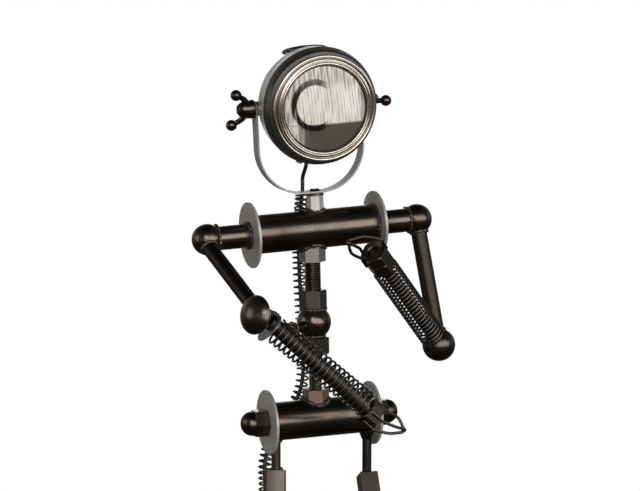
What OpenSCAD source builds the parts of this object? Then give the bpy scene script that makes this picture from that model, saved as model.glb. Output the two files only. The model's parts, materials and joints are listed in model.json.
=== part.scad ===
// Robot floor lamp welded from bar, pipe, nuts and springs, with a headlamp for a head.
// The robot faces -Y, its left hand side is +X, and the origin is on the floor under it.

/* [Headlamp] */
// Radius of the housing at its seam
housing_r = 103.5; // [98:0.5:108]
// Radius of the rear bowl at its widest
bowl_r = 102.5; // [99:0.5:108]
// Wall of the housing shells
shell_wall = 2; // [1.5:0.5:3]
// Distance of the seam in front of the tilt axis
seam_a = 70; // [66:1:72]
// Distance of the widest part of the bowl in front of the tilt axis
bowl_a = 48; // [46:1:50]
// Depth of the rear bowl behind its widest part
bowl_depth = 90; // [86:1:92]
// Distance of the bezel's back in front of the tilt axis
bezel_a = 90; // [88:1:94]
// Outer radius of the bezel
bezel_r = 94; // [92:0.5:98]
// Depth of the bezel
bezel_depth = 15; // [14:1:18]
// Radius of the glass that shows inside the bezel
glass_r = 77; // [74:0.5:79]
// Thickness of the glass
glass_t = 3; // [2:0.5:4]
// Rise of the glass in its middle
glass_dome = 7; // [4:1:10]
// Diameter of the bulb
bulb_d = 45; // [40:1:48]
// Diameter of the bulb holder
holder_d = 38; // [34:1:42]
// Diameter of the vent cap
vent_d = 83; // [70:1:90]
// Height of the vent cap
vent_h = 8; // [6:1:12]
// Diameter of the vent neck
vent_neck_d = 44; // [40:1:48]
// How far the headlamp looks down at rest
head_tilt = 5; // [0:1:8]
// How far the headlamp is turned to the robot's right at rest
head_yaw = 1.5; // [0:0.5:6]
// Height of the headlamp's middle over the tilt axis
head_rise = 9; // [6:0.5:12]

/* [Yoke] */
// Gap between the bowl's side and the yoke's arms
yoke_gap = 1.8; // [1.7:0.1:4]
// Width of the strap
strap_w = 28; // [26:1:32]
// Thickness of the strap
strap_t = 3.2; // [3:0.1:4]
// Half length of the flat at the bottom of the yoke
yoke_flat = 16; // [14:1:20]
// Height of the tilt axis over the underside of the yoke
yoke_h = 158; // [150:1:170]
// Diameter of the tilt studs
stud_d = 10; // [8:1:12]
// Diameter of the wing nut hub
hub_d = 34; // [28:1:36]
// Length of the wing nut hub
hub_l = 28; // [22:1:32]
// Distance of a wing's ball from the tilt axis
wing_r = 34; // [30:1:38]
// How far a wing's ball stands out from the yoke
wing_reach = 37; // [34:1:44]
// Diameter of a wing's ball
wing_ball_d = 20; // [16:1:22]
// Thickness of a wing
wing_d = 8; // [7:0.5:10]
// Turn of the right wing nut's wings from upright
wing_turn_right = 35; // [0:5:90]
// Turn of the left wing nut's wings from upright
wing_turn_left = 90; // [0:5:90]

/* [Neck] */
// How far the neck stands to the left of the shoulder tube's middle
neck_x = 6; // [0:1:6]
// Diameter of the swivel bolt
swivel_d = 12; // [10:1:14]
// Diameter of the swivel bolt's head
swivel_head_d = 20; // [19:1:20]
// Height of the swivel bolt's head
swivel_head_h = 4; // [3:0.5:6]
// Height of the neck nut over the shoulder tube
neck_nut_h = 26; // [22:1:30]
// Width across the flats of the neck nut
neck_nut_af = 26; // [24:1:30]
// Diameter of the neck washer
neck_washer_d = 32; // [28:1:36]
// Thickness of the neck washer
neck_washer_t = 5; // [4:0.5:6]

/* [Bars] */
// Height of the shoulder bar
shoulder_z = 1223; // [1200:1:1240]
// Height of the hip bar
hip_z = 879; // [870:1:890]
// Tilt of the shoulder bar, left side up
shoulder_roll = 3; // [0:0.5:4]
// Tilt of the hip bar, left side up
hip_roll = 1.4; // [0:0.2:2]
// Outer diameter of the two main tubes
tube_d = 70; // [66:1:74]
// Wall of the two main tubes
tube_wall = 4; // [3:0.5:6]
// Distance between the shoulder washers' inner faces
shoulder_l = 234; // [226:1:240]
// Distance between the hip washers' inner faces
hip_l = 194; // [188:1:200]
// Diameter of the shoulder washers
shoulder_washer_d = 118; // [110:1:122]
// Diameter of the hip washers
hip_washer_d = 116; // [110:1:120]
// Thickness of the big washers
washer_t = 5; // [4:0.5:6]
// Diameter of the shoulder stub pipes
stub_pipe_d = 43; // [38:1:46]
// Wall of the shoulder stub pipes
stub_wall = 3; // [2.5:0.5:4]
// Distance of the shoulder balls from the middle
ball_x = 200; // [195:1:205]
// Radius of the shoulder balls
shoulder_ball_r = 28; // [26:0.5:30]
// Diameter of the threaded bar through the hips
hip_bar_d = 30; // [24:1:32]
// Width across the flats of the dome nuts
dome_nut_af = 46; // [42:1:50]
// Height of the hexagon of the dome nuts
dome_nut_hex = 25; // [20:1:30]

/* [Spine] */
// Diameter of the upper threaded rod
spine_rod_d = 30; // [26:1:32]
// Diameter of the lower threaded rod
waist_rod_d = 24; // [20:1:26]
// Radius of the waist ball
waist_ball_r = 31; // [28:0.5:33]
// Width across the flats of the spine nuts
spine_nut_af = 42; // [38:1:46]
// Width across the flats of the nut under the waist ball
waist_nut_af = 46; // [42:1:50]
// Height of the nut on the hip tube over the hip axis
hip_nut_top = 53; // [50:1:56]
// Length of the lower threaded rod that shows
waist_rod_l = 64; // [56:1:70]
// Height of the nut under the waist ball
waist_nut_h = 28; // [24:1:32]
// Height of the coupling nut over the waist ball's middle
coupling_top = 59; // [54:1:62]
// Height of the spine block under the shoulder tube
block_h = 23; // [18:1:28]

/* [Arms] */
// Diameter of the upper arm pipes
arm_pipe_d = 25.4; // [22:0.2:27]
// Wall of the upper arm pipes
arm_wall = 2.6; // [2:0.1:4]
// Radius of the left elbow ball
elbow_ball_r = 30; // [27:0.5:32]
// Radius of the right elbow's domed bolt head
dome_head_r = 34; // [30:1:36]
// Height of the domed bolt head
dome_head_h = 15; // [12:1:20]
// Diameter of the washer under the domed head
elbow_washer_d = 72; // [66:1:76]
// Thickness of the washer under the domed head
elbow_washer_t = 5; // [4:0.5:6]
// Diameter of the right elbow's hub
elbow_hub_d = 40; // [36:1:42]
// Length of the right elbow's hub
elbow_hub_l = 36; // [32:1:40]
// Diameter of the right forearm rod
right_rod_d = 28; // [24:1:29]
// Diameter of the left forearm rod
left_rod_d = 20; // [18:1:24]
// How far the right forearm spring sags at the elbow and stands up at the hand
spring_sag = 4.9; // [0:0.1:5]
// Wire diameter of the forearm springs
forearm_wire_d = 4.2; // [3.6:0.2:4.6]
// Outer diameter of the forearm springs
forearm_spring_d = 49; // [46:1:52]
// Curls of the right forearm spring
right_curls = 20; // [16:1:22]
// Curls of the left forearm spring
left_curls = 22; // [16:1:24]
// Width across the flats of the hand nuts
hand_nut_af = 42; // [38:1:44]
// Height of a hand nut
hand_nut_h = 24; // [20:1:28]
// Diameter of the finger wires
finger_d = 5; // [4:0.5:6]

/* [Legs] */
// Diameter of the rods between the hip tube and the thighs
hip_rod_d = 17; // [14:1:20]
// Side of the square leg bars
leg_bar = 34; // [30:1:36]
// Radius of the knee balls
knee_r = 31; // [29:0.5:34]
// Width across the flats of the ankle nuts
ankle_af = 46; // [40:1:50]
// Height of the ankle nuts
ankle_h = 26; // [20:1:32]
// Width of a foot
foot_w = 92; // [80:1:110]
// Thickness of a foot
foot_t = 14; // [10:1:20]
// Length of a foot in front of the ankle
foot_toe = 165; // [150:5:190]
// Length of a foot behind the ankle
foot_heel = 50; // [45:1:60]

/* [Cable] */
// Diameter of the cable
cable_d = 7; // [6:0.5:8]
// Wire diameter of the sleeve spring
sleeve_wire_d = 4; // [3:0.2:4.4]
// Outer diameter of the sleeve spring
sleeve_d = 25; // [23:0.5:26]
// Curls of the sleeve spring
sleeve_curls = 32; // [24:1:34]
// Length of the cord switch
switch_l = 64; // [56:1:72]
// Width of the cord switch
switch_w = 26; // [24:1:30]
// Height of the cord switch
switch_h = 18; // [16:1:22]
// Turns in each layer of the coil
coil_turns = 3; // [2:1:3]
// Width of the plug
plug_w = 34; // [33:0.5:36]
// Height of the plug
plug_h = 14; // [13:0.5:15]
// Length of the plug's body
plug_l = 35; // [33:0.5:38]

/* [Hidden] */
$fn = 64;

// Clearances
weld_gap = 0.05;
fit_gap = 0.1;
run_gap = 0.3;
cable_play = 0.3;
cord_gap = 0.2;
// How far a cutting shape stands out of what it cuts
cut = 1;

// Frames
shift_x = -9.1;
shift_y = 93.7;
shoulder_x = -2;
hip_x = 10;
spine_x = 3.5;
spine_lean = 1.5;
nut_turn = -20;
tube_r = tube_d / 2;
washer_z = tube_r + neck_nut_h;
yoke_z = washer_z + neck_washer_t;
tilt_z = yoke_z + yoke_h;

// Values of the headlamp, in its own frame
bowl_steps = 20;
bowl_back = bowl_a - bowl_depth + shell_wall;
drum_a1 = seam_a + 6;
drum_in1 = 0.5;
drum_in2 = housing_r - bezel_r - 1.5;
drum_step = 15;
drum_open_r = glass_r - 4;
grommet_a = 12;
grommet_x = -8;
grommet_end = 106;
grommet_taper = 8;
grommet_l = 34;
grommet_d = cable_d + 8;
grommet_tip_d = cable_d + 4;
lead_in = 6;
vent_bore = 20;
vent_tip = 16;
vent_up = 84.5;
vent_a = -6;
vent_neck_h = 40;
vent_edge = 5;
vent_top = 2;
bezel_edge = 2;
bezel_bead = 2.5;
bezel_groove = 1.6;
glass_bead = 2.2;
glass_land = 6;
glass_seat = 5;
glass_a = bezel_a + bezel_depth - glass_land - glass_t;
reflector_a = 26;
reflector_r = glass_r - 3;
reflector_t = 1.2;
reflector_focus = 15;
bulb_cap_d = 27;
bulb_cap_a = bowl_back + 15;
bulb_cap_l = 24;
bulb_neck_l = 10;
bulb_neck_d = 34;
bulb_a = bowl_back + 62;
holder_l = 38;
boss_in = 45;
boss_d = 26;
stud_in = boss_in + 10;

// Values of the yoke. Its arms stand clear of the bowl's side over the whole tilt
bowl_side = bowl_r * sqrt(1 - pow((bowl_a - strap_w / 2) / bowl_depth, 2));
yoke_w = 2 * (bowl_side + yoke_gap + strap_t);
yoke_r = yoke_w / 2 - yoke_flat;
boss_out = yoke_w / 2 - strap_t - run_gap;
hub_start = yoke_w / 2 + run_gap;
hub_nose = 6;
hub_nose_h = 8;
hub_draft = 3;
wing_foot_x = yoke_w / 2 + 11;
wing_foot_z = 4;
wing_ball_x = yoke_w / 2 + wing_reach;

// Values of the neck and the main bars
bolt_foot = 4;
neck_nut_foot = 5;
bead_r = 2.5;
stub_in = 12;
stub_r = stub_pipe_d / 2;
hip_end = hip_l / 2 + washer_t;

// Arm points
right_ball = at_shoulder(-ball_x);
left_ball = at_shoulder(ball_x);
right_elbow = [-178, -196, 1104];
left_elbow = [218, -60, 1010];
right_hand = [36, -190, 920];
left_hand = [44, -190, 1196];
dome_axis = unit([-0.85, -0.49, 0.2]);
hub_mid = right_elbow - dome_axis * (elbow_washer_t + elbow_hub_l / 2);
right_forearm = unit(right_hand - hub_mid);
left_forearm = unit(left_hand - left_elbow);
right_spring_up = unit(cross(right_forearm, [0, 1, 0]));
right_spring_foot = elbow_hub_d / 2 + 12;
right_spring_start = hub_mid + right_forearm * right_spring_foot - right_spring_up * spring_sag;
right_spring_end = right_hand - right_forearm * (hand_nut_h / 2 + weld_gap) + right_spring_up * spring_sag;
left_spring_start = left_elbow + left_forearm * (elbow_ball_r + weld_gap);
left_spring_end = left_hand - left_forearm * (hand_nut_h * 1.5 + 2 * weld_gap);
rod_out = 4;
dome_r = (dome_head_r * dome_head_r + dome_head_h * dome_head_h) / (2 * dome_head_h);
dome_bolt_d = 16;
dome_bolt_in = 14;
right_tip = [92, -205, 888];
left_tip = [-12, -205, 1222];

// Heights along the spine, from the hip axis up
rod_seat = 8;
ball_seat = 0.5;
rod_z = hip_nut_top + waist_rod_l;
ball_z = rod_z + waist_nut_h + waist_ball_r - ball_seat;
waist_rod_top = rod_z + 12;
coupling_low = 12;
coupling_seat = 14;
upper_rod_z = ball_z + coupling_top - coupling_seat;
spine_top = (shoulder_z - hip_z) / cos(spine_lean) - tube_r;
block_z = spine_top - block_h;

// Legs, each as rod top, thigh top, knee and ankle
right_leg = [[-74, 0, 879], [-74, 0, 788], [-94, -56, 524], [-88, 4, 30]];
left_leg = [[98, -10, 881], [98, -10, 770], [92, -132, 534], [112, -96, 30]];
legs = [right_leg, left_leg];
// Turns of each leg's thigh bar, shin bar and foot
turns = [[4, -11, -17], [4, 33, 4]];
rod_foot = 7;
rod_head = hip_z - tube_r + tube_wall + 3;
gusset_h = 9;
gusset_d = hip_rod_d + 16;
ankle_top = foot_t + ankle_h;
heel_r = 20;

// Cable points
lead_low = [-13, 31.5, 1279];
lead_mid = [-13, 28, 1290.5];
lead_high = [-13.5, 25.5, 1304];
lead_end = [-90, 33, 92];
sleeve_route = [lead_low, [-13, 37.9, 1258], [-12, 51, 1222], [-11, 52, 1150], [-7, 51, 1070], [-3, 51, 990],
    [-8, 52, 925], [-32, 54, 878], [-60, 60, 835], [-74, 60, 795], [-78, 50, 750], [-83, 30, 690], [-90, 6, 610],
    [-95, -5, 530], [-95, -8, 450], [-94, 7, 300], [-92, 21, 180], lead_end];
yoke_route = [lead_low + unit(lead_mid - lead_low) * run_gap, lead_mid,
    lead_high - unit(lead_high - lead_mid) * 2 * run_gap];
head_route = [lead_high, lead_high + (lead_high - lead_mid) * 0.88,
    head_point([grommet_x, -grommet_end - 12, grommet_a - 2.2]), head_point([grommet_x, -grommet_end - 1, grommet_a]),
    head_point([grommet_x, -grommet_end + lead_in, grommet_a])];
switch_at = [switch_l / 2 - 32, 164, 0];
switch_in = [switch_at.x - switch_l / 2, switch_at.y, switch_h / 2];
switch_out = [switch_at.x + switch_l / 2, switch_at.y, switch_h / 2];
cord_route = [lead_end - [0, 0, cord_gap], [-89.6, 35.2, 76], [-89, 46, 53], [-87, 64, 32], [-83, 86, 14],
    [-78, 108, 5], [-73.5, 127, 4], [-67.7, 146, 4.5], [-56, 159.4, 7.2], [-44, 164, 9],
    switch_in - [cord_gap, 0, 0]];
coil_at = [84, 112];
coil_r = 52;
coil_gap = 0.8;
coil_step = cable_d + coil_gap;
coil_low = cable_d / 2 + cord_gap;
coil_sides = 24;
plug_at = [coil_at.x + 76, coil_at.y + coil_r, plug_h / 2 + cord_gap];
plug_neck = 8;
plug_grip = 15;
pin_d = 4;
pin_l = 19;
pin_step = 9.25;

// Spring sleeve and its clips
sleeve_steps = 17;
sleeve_path = curve(sleeve_route, sleeve_steps);
clip_spans = [15.06, 16.34];
clip_t = 2;
clip_h = 14;
clip_tab = 12;
clip_reach = 18;

// Cord switch
switch_end_l = 10;
switch_end_in = 5;
switch_end_z = 2;
rocker_l = 22;
rocker_w = 12;
rocker_tilt = 8;
rocker_h = 4;
rocker_dip = 2.6;
rocker_z = switch_h - 3;
rocker_pin_d = 3;
rocker_pin_l = 1.5;
pocket_h = 9;

function unit(v) = v / norm(v);
function about_x(p, a) = [p.x, p.y * cos(a) - p.z * sin(a), p.y * sin(a) + p.z * cos(a)];
function about_y(p, a) = [p.x * cos(a) + p.z * sin(a), p.y, p.z * cos(a) - p.x * sin(a)];
function about_z(p, a) = [p.x * cos(a) - p.y * sin(a), p.x * sin(a) + p.y * cos(a), p.z];
function head_point(p) = [shoulder_x, 0, shoulder_z]
    + about_y([0, 0, tilt_z] + about_z([0, 0, head_rise] + about_x(p, 90 + head_tilt), -head_yaw), -shoulder_roll);
function at_shoulder(x) = [shoulder_x + x * cos(shoulder_roll), 0, shoulder_z + x * sin(shoulder_roll)];
// Distance from a ball's middle at which a pipe of radius r meets its skin
function ball_contact(ball_r, r) = sqrt(ball_r * ball_r - r * r);

// Moves every part so that the origin is under the middle of the lamp
module placed() translate([shift_x, shift_y, 0]) children();

// Catmull-Rom curve through a list of points, n steps a span
function curve(p, n) = [for (i = [0 : len(p) - 2]) for (k = [0 : n - 1])
    let (a = i == 0 ? 2 * p[0] - p[1] : p[i - 1], b = p[i], c = p[i + 1],
        d = i == len(p) - 2 ? 2 * p[i + 1] - p[i] : p[i + 2], t = k / n)
    0.5 * (2 * b + (c - a) * t + (2 * a - 5 * b + 4 * c - d) * t * t
        + (3 * b - a - 3 * c + d) * t * t * t), p[len(p) - 1]];
function tangents(p) = [for (i = [0 : len(p) - 1])
    unit(p[min(i + 1, len(p) - 1)] - p[max(i - 1, 0)])];

// Side vectors carried along a path without twist
function sides_from(t, seed) = [for (i = 0, u = unit(cross(t[0], seed)); i < len(t);
    i = i + 1, u = i < len(t) ? unit(u - t[i] * (u * t[i])) : u) u];
function seed_for(t) = abs(t.z) < 0.9 ? [0, 0, 1] : [0, 1, 0];

// Least gap between the wire of one turn and the next, measured on the centre points
function self_gap(p, skip, d) = min([for (i = [0 : len(p) - 1 - skip]) for (j = [i + skip : len(p) - 1])
    norm(p[i] - p[j])]) - d;

// Tube of round section along points, with side vectors u
module tube(p, u, d, n) {
    t = tangents(p);
    last = (len(p) - 1) * n;
    pts = [for (i = [0 : len(p) - 1]) let (v = cross(t[i], u[i])) for (j = [0 : n - 1])
        p[i] + d / 2 * (cos(360 * j / n) * u[i] + sin(360 * j / n) * v)];
    skin = [for (i = [0 : len(p) - 2]) for (j = [0 : n - 1]) let (k = (j + 1) % n, a = i * n, b = a + n)
        each [[a + j, b + j, a + k], [a + k, b + j, b + k]]];
    caps = [for (j = [1 : n - 2]) each [[0, j, j + 1], [last, last + j + 1, last + j]]];
    polyhedron(pts, concat(skin, caps));
}

// Plain flexible tube through points
module flex(p, d, n, steps) {
    c = curve(p, steps);
    t = tangents(c);
    tube(c, sides_from(t, seed_for(t[0])), d, n);
}

// Spring round a line from a to b, with its ends turned along the line
function spring_points(a, b, r, curls, d) = let (w = unit(b - a), l = norm(b - a),
    u = unit(cross(w, [0, 1, 0])), v = cross(w, u), n = curls * 8)
    concat([a + u * r], [for (i = [0 : n]) let (f = 360 * i / 8)
        a + w * (d + (l - 2 * d) * i / n) + r * (cos(f) * u + sin(f) * v)],
        [b + r * (cos(360 * curls) * u + sin(360 * curls) * v)]);
function spring_sides(a, b, curls) = let (w = unit(b - a), u = unit(cross(w, [0, 1, 0])),
    v = cross(w, u), n = curls * 8)
    [for (i = [-1 : n + 1]) let (f = 45 * max(0, min(i, n))) cos(f) * u + sin(f) * v];
module spring(a, b, od, d, curls) {
    p = spring_points(a, b, (od - d) / 2, curls, d);
    s = spring_sides(a, b, curls);
    t = tangents(p);
    echo(spring_gap = self_gap(p, 6, d));
    tube(p, [for (i = [0 : len(p) - 1]) unit(s[i] - t[i] * (s[i] * t[i]))], d, 6);
}

// Places its children with +Z from a towards b
module along(a, b) {
    v = b - a;
    translate(a) rotate([0, acos(v.z / norm(v)), atan2(v.y, v.x)]) children();
}
module bar_along(a, b, d) along(a, b) cylinder(h = norm(b - a), d = d);
module hex(af, h) cylinder(h = h, d = af / cos(30), $fn = 6);
// Nut whose corners are turned down at the top
module turned_hex(af, h) intersection() {
    hex(af, h);
    union() {
        translate([0, 0, h - af / 8]) cylinder(h = af / 8, d1 = af * 1.22, d2 = af * 1.02);
        cylinder(h = h - af / 8 + weld_gap, d = af * 1.2);
    }
}
// Weld bead round a pipe of radius r that lies along Z
module bead(r, z) translate([0, 0, z]) rotate_extrude() translate([r, 0]) circle(r = bead_r, $fn = 16);
module sideways() rotate([0, 90, 0]) children();
module both_sides() for (s = [0, 1]) mirror([s, 0, 0]) children();

module shoulder_frame() translate([shoulder_x, 0, shoulder_z]) rotate([0, -shoulder_roll, 0]) children();
module hip_frame() translate([hip_x, 0, hip_z]) rotate([0, -hip_roll, 0]) children();
module spine_frame(z = 0) translate([spine_x, 0, hip_z]) rotate([0, -spine_lean, 0]) translate([0, 0, z]) children();
module yoke_frame() shoulder_frame() translate([0, 0, tilt_z]) rotate([0, 0, -head_yaw]) children();
// The headlamp's own frame has +Z along its light
module head_turned() translate([0, 0, head_rise]) rotate([90 + head_tilt, 0, 0]) children();
module head_frame() yoke_frame() head_turned() children();

// Half outline of the rear bowl, grown by g
module bowl_outline(g) {
    polygon(concat([for (i = [0 : bowl_steps]) let (f = 90 * i / bowl_steps)
        [(bowl_r + g) * sin(f), bowl_a - (bowl_depth + g) * cos(f)]],
        [[housing_r + g, seam_a], [0, seam_a]]));
}
module bowl_solid(g) rotate_extrude($fn = 96) bowl_outline(g);
module vent_place() translate([0, vent_up, vent_a]) rotate([-90 - vent_tip, 0, 0]) children();

module rear_shell() color("#6a6763") placed() difference() {
    head_frame() difference() {
        rotate_extrude($fn = 96) difference() {
            bowl_outline(0);
            bowl_outline(-shell_wall);
            translate([0, seam_a - 0.01]) square([bowl_r * 2, cut]);
        }
        translate([grommet_x, -bowl_r, grommet_a]) rotate([90, 0, 0])
            cylinder(h = bowl_r, d = grommet_d, center = true);
        vent_place() translate([0, 0, -vent_neck_h]) cylinder(h = vent_neck_h + cut, d = vent_bore);
    }
    yoke_frame() sideways() cylinder(h = yoke_w, d = stud_d + 2 * weld_gap, center = true);
}

module drum_outline(g, front) polygon([
    [0, seam_a + fit_gap * (1 + g)],
    [housing_r + g, seam_a + fit_gap * (1 + g)],
    for (f = [0 : drum_step : 90]) [housing_r + g - drum_in1 - (drum_in2 - drum_in1) * (1 - cos(f)),
        drum_a1 + (front - drum_a1) * sin(f)],
    [0, front]]);
module front_drum() color("#3c3a38") placed() head_frame() rotate_extrude($fn = 96) difference() {
    drum_outline(0, bezel_a - fit_gap);
    drum_outline(-shell_wall, bezel_a - fit_gap - shell_wall);
    square([drum_open_r, bezel_a * 2]);
}

module bezel() color("#beb7aa") placed() head_frame() translate([0, 0, bezel_a])
    rotate_extrude($fn = 96) difference() {
    union() {
        polygon([[glass_r - 1, 0],
            [bezel_r - 1, 0],
            [bezel_r, bezel_edge],
            [bezel_r, bezel_depth - 7],
            [bezel_r - 6, bezel_depth - 3],
            [glass_r + 6, bezel_depth],
            [glass_r, bezel_depth - 2],
            [glass_r - 1, bezel_depth - 6]]);
        translate([bezel_r - bezel_bead, bezel_depth - 2.2 * bezel_bead]) circle(r = bezel_bead, $fn = 24);
        translate([glass_r + bezel_edge, bezel_depth - bezel_edge]) circle(r = glass_bead, $fn = 24);
    }
    translate([0, -cut]) square([glass_r + glass_seat, bezel_depth - glass_land + cut]);
    translate([0, -cut]) square([glass_r, bezel_depth * 2]);
    translate([bezel_r - 2.8 * bezel_bead, bezel_depth - bezel_bead]) circle(r = bezel_groove, $fn = 24);
}

module dome_profile(r, rise, t) {
    big = (r * r + rise * rise) / (2 * rise);
    intersection() {
        translate([0, rise - big]) difference() {
            circle(r = big, $fn = 360);
            circle(r = big - t, $fn = 360);
        }
        translate([0, -t * 2]) square([r, rise + t * 3]);
    }
}
module lens_glass() color("#dfe6e4", 0.5) placed() head_frame() translate([0, 0, glass_a])
    rotate_extrude($fn = 96) {
    translate([0, glass_t]) dome_profile(glass_r - 1, glass_dome, glass_t);
    translate([glass_r - 1 - glass_t, 0]) square([glass_seat + glass_t, glass_t - fit_gap]);
}

reflector_in = bulb_d / 2 + 4;
reflector_top = glass_a - 1;
function reflector_height(r) = reflector_a + (reflector_top - reflector_a)
    * pow((r - reflector_focus) / (reflector_r - reflector_focus), 2);
function reflector_curve(g) = [for (i = [0 : 8]) let (r = reflector_in + (reflector_r - reflector_in) * i / 8)
    [r - g, reflector_height(r)]];
module reflector() color("#d8d8d4") placed() head_frame() rotate_extrude($fn = 96) difference() {
    polygon(concat(reflector_curve(0), [[glass_r + 3, reflector_top],
        [glass_r + 3, glass_a - run_gap],
        [0, glass_a - run_gap],
        [0, reflector_a]]));
    polygon(concat(reflector_curve(reflector_t), [[reflector_r, glass_a + 5],
        [0, glass_a + 5],
        [0, reflector_a - 5],
        [reflector_in - reflector_t, reflector_a - 5]]));
}

module bulb_holder() color("#e8e2d6") placed() head_frame() difference() {
    translate([0, 0, bowl_back + cut]) cylinder(h = holder_l, d = holder_d);
    translate([0, 0, bulb_cap_a]) cylinder(h = holder_l, d = bulb_cap_d + 2 * fit_gap);
    difference() {
        translate([0, 0, bowl_back - holder_l / 2]) cylinder(h = holder_l * 1.5, d = holder_d + 2);
        bowl_solid(-shell_wall - weld_gap);
    }
}
module bulb() color("#f3eee0") placed() head_frame() {
    translate([0, 0, bulb_cap_a]) cylinder(h = bulb_cap_l, d = bulb_cap_d);
    translate([0, 0, bulb_cap_a + bulb_cap_l]) cylinder(h = bulb_neck_l, d1 = bulb_cap_d, d2 = bulb_neck_d);
    translate([0, 0, bulb_a]) sphere(d = bulb_d);
}

module vent_cap() color("#2d2b29") placed() head_frame() difference() {
    vent_place() union() {
        cylinder(h = vent_h, d = vent_d);
        translate([0, 0, vent_h]) cylinder(h = vent_top, d1 = vent_d, d2 = vent_d - 2 * vent_edge);
        translate([0, 0, -vent_neck_h]) cylinder(h = vent_neck_h + 0.01, d = vent_neck_d);
    }
    bowl_solid(weld_gap);
    vent_place() translate([0, 0, -vent_neck_h - cut]) cylinder(h = vent_neck_h + cut, d = vent_bore);
}

module cable_grommet() color("#151515") placed() head_frame()
    translate([grommet_x, 0, grommet_a]) rotate([90, 0, 0]) difference() {
        union() {
            translate([0, 0, grommet_end - grommet_l])
                cylinder(h = grommet_l - grommet_taper, d = grommet_d - 2 * fit_gap);
            translate([0, 0, grommet_end - grommet_taper - 0.01])
                cylinder(h = grommet_taper, d1 = grommet_d - 2 * fit_gap, d2 = grommet_tip_d);
        }
        cylinder(h = grommet_end * 2, d = cable_d + 2 * cable_play);
    }

// Boss and stud, one piece each, welded into the side of the bowl
module tilt_studs() color("#2b2a28") placed() yoke_frame() both_sides() {
    difference() {
        translate([boss_in, 0, 0]) sideways() cylinder(h = boss_out - boss_in, d = boss_d);
        head_turned() bowl_solid(weld_gap);
    }
    translate([stud_in, 0, 0]) sideways() cylinder(h = boss_out - stud_in + strap_t + hub_l, d = stud_d);
}
module wing() along([wing_foot_x, 0, wing_foot_z], [wing_ball_x, 0, wing_r])
    cylinder(h = norm([wing_ball_x - wing_foot_x, wing_r - wing_foot_z]), d1 = wing_d + 4, d2 = wing_d);
module wing_nut(turn) rotate([turn, 0, 0]) difference() {
    union() {
        translate([hub_start, 0, 0]) sideways() cylinder(h = hub_l - hub_nose, d1 = hub_d, d2 = hub_d - hub_draft);
        translate([hub_start + hub_l - hub_nose, 0, 0]) sideways()
            cylinder(h = hub_nose_h, d1 = hub_d - hub_draft, d2 = hub_d - hub_draft - 11);
        for (s = [0, 1]) mirror([0, 0, s]) {
            wing();
            translate([wing_ball_x, 0, wing_r]) sphere(d = wing_ball_d, $fn = 48);
        }
    }
    sideways() cylinder(h = yoke_w / 2 + hub_l, d = stud_d + 2 * fit_gap);
}
module wing_nut_right() color("#2b2a28") placed() yoke_frame() mirror([1, 0, 0]) wing_nut(wing_turn_right);
module wing_nut_left() color("#2b2a28") placed() yoke_frame() wing_nut(wing_turn_left);

// Strap outline in the XZ plane, from the tilt axis down
module u_outline(w, r, down) {
    for (s = [0, 1]) mirror([s, 0]) translate([w / 2 - r, -down + r]) intersection() {
        circle(r = r);
        translate([0, -r]) square([r, r]);
    }
    translate([-w / 2 + r, -down]) square([w - 2 * r, r]);
    translate([-w / 2, -down + r]) square([w, down - r + strap_w / 2]);
}
module yoke() color("#5c5a57") placed() yoke_frame() difference() {
    intersection() {
        rotate([90, 0, 0]) linear_extrude(height = strap_w, center = true) difference() {
            u_outline(yoke_w, yoke_r, yoke_h);
            u_outline(yoke_w - 2 * strap_t, yoke_r - strap_t, yoke_h - strap_t);
        }
        sideways() linear_extrude(height = yoke_w + 2 * cut, center = true) {
            circle(d = strap_w);
            translate([0, -strap_w / 2]) square([yoke_h + cut, strap_w]);
        }
    }
    rotate([0, 0, head_yaw]) translate([neck_x, 0, -yoke_h - cut])
        cylinder(h = strap_t + 2 * cut, d = swivel_d + 2 * fit_gap);
    sideways() cylinder(h = yoke_w + 4 * cut, d = stud_d + 2 * fit_gap, center = true);
}

swivel_top = yoke_z + strap_t + fit_gap;
module neck_frame(z) shoulder_frame() translate([neck_x, 0, z]) children();
module swivel_bolt() color("#2b2a28") placed() neck_frame(0) {
    translate([0, 0, tube_r + bolt_foot]) cylinder(h = swivel_top - tube_r - bolt_foot, d = swivel_d);
    translate([0, 0, swivel_top]) cylinder(h = swivel_head_h, d1 = swivel_head_d, d2 = swivel_head_d - 6);
}
module neck_washer() color("#33312f") placed() neck_frame(washer_z) difference() {
    cylinder(h = neck_washer_t - fit_gap, d = neck_washer_d);
    translate([0, 0, -cut]) cylinder(h = neck_washer_t + 2 * cut, d = swivel_d + 2 * weld_gap);
}
module neck_nut() color("#a59b91") placed() neck_frame(0) difference() {
    rotate([0, 0, nut_turn]) translate([0, 0, tube_r - neck_nut_foot])
        turned_hex(neck_nut_af, neck_nut_h + neck_nut_foot);
    translate([0, 0, tube_r + bolt_foot - cut]) cylinder(h = neck_nut_h, d = swivel_d + 2 * weld_gap);
    tube_cut();
}

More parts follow.
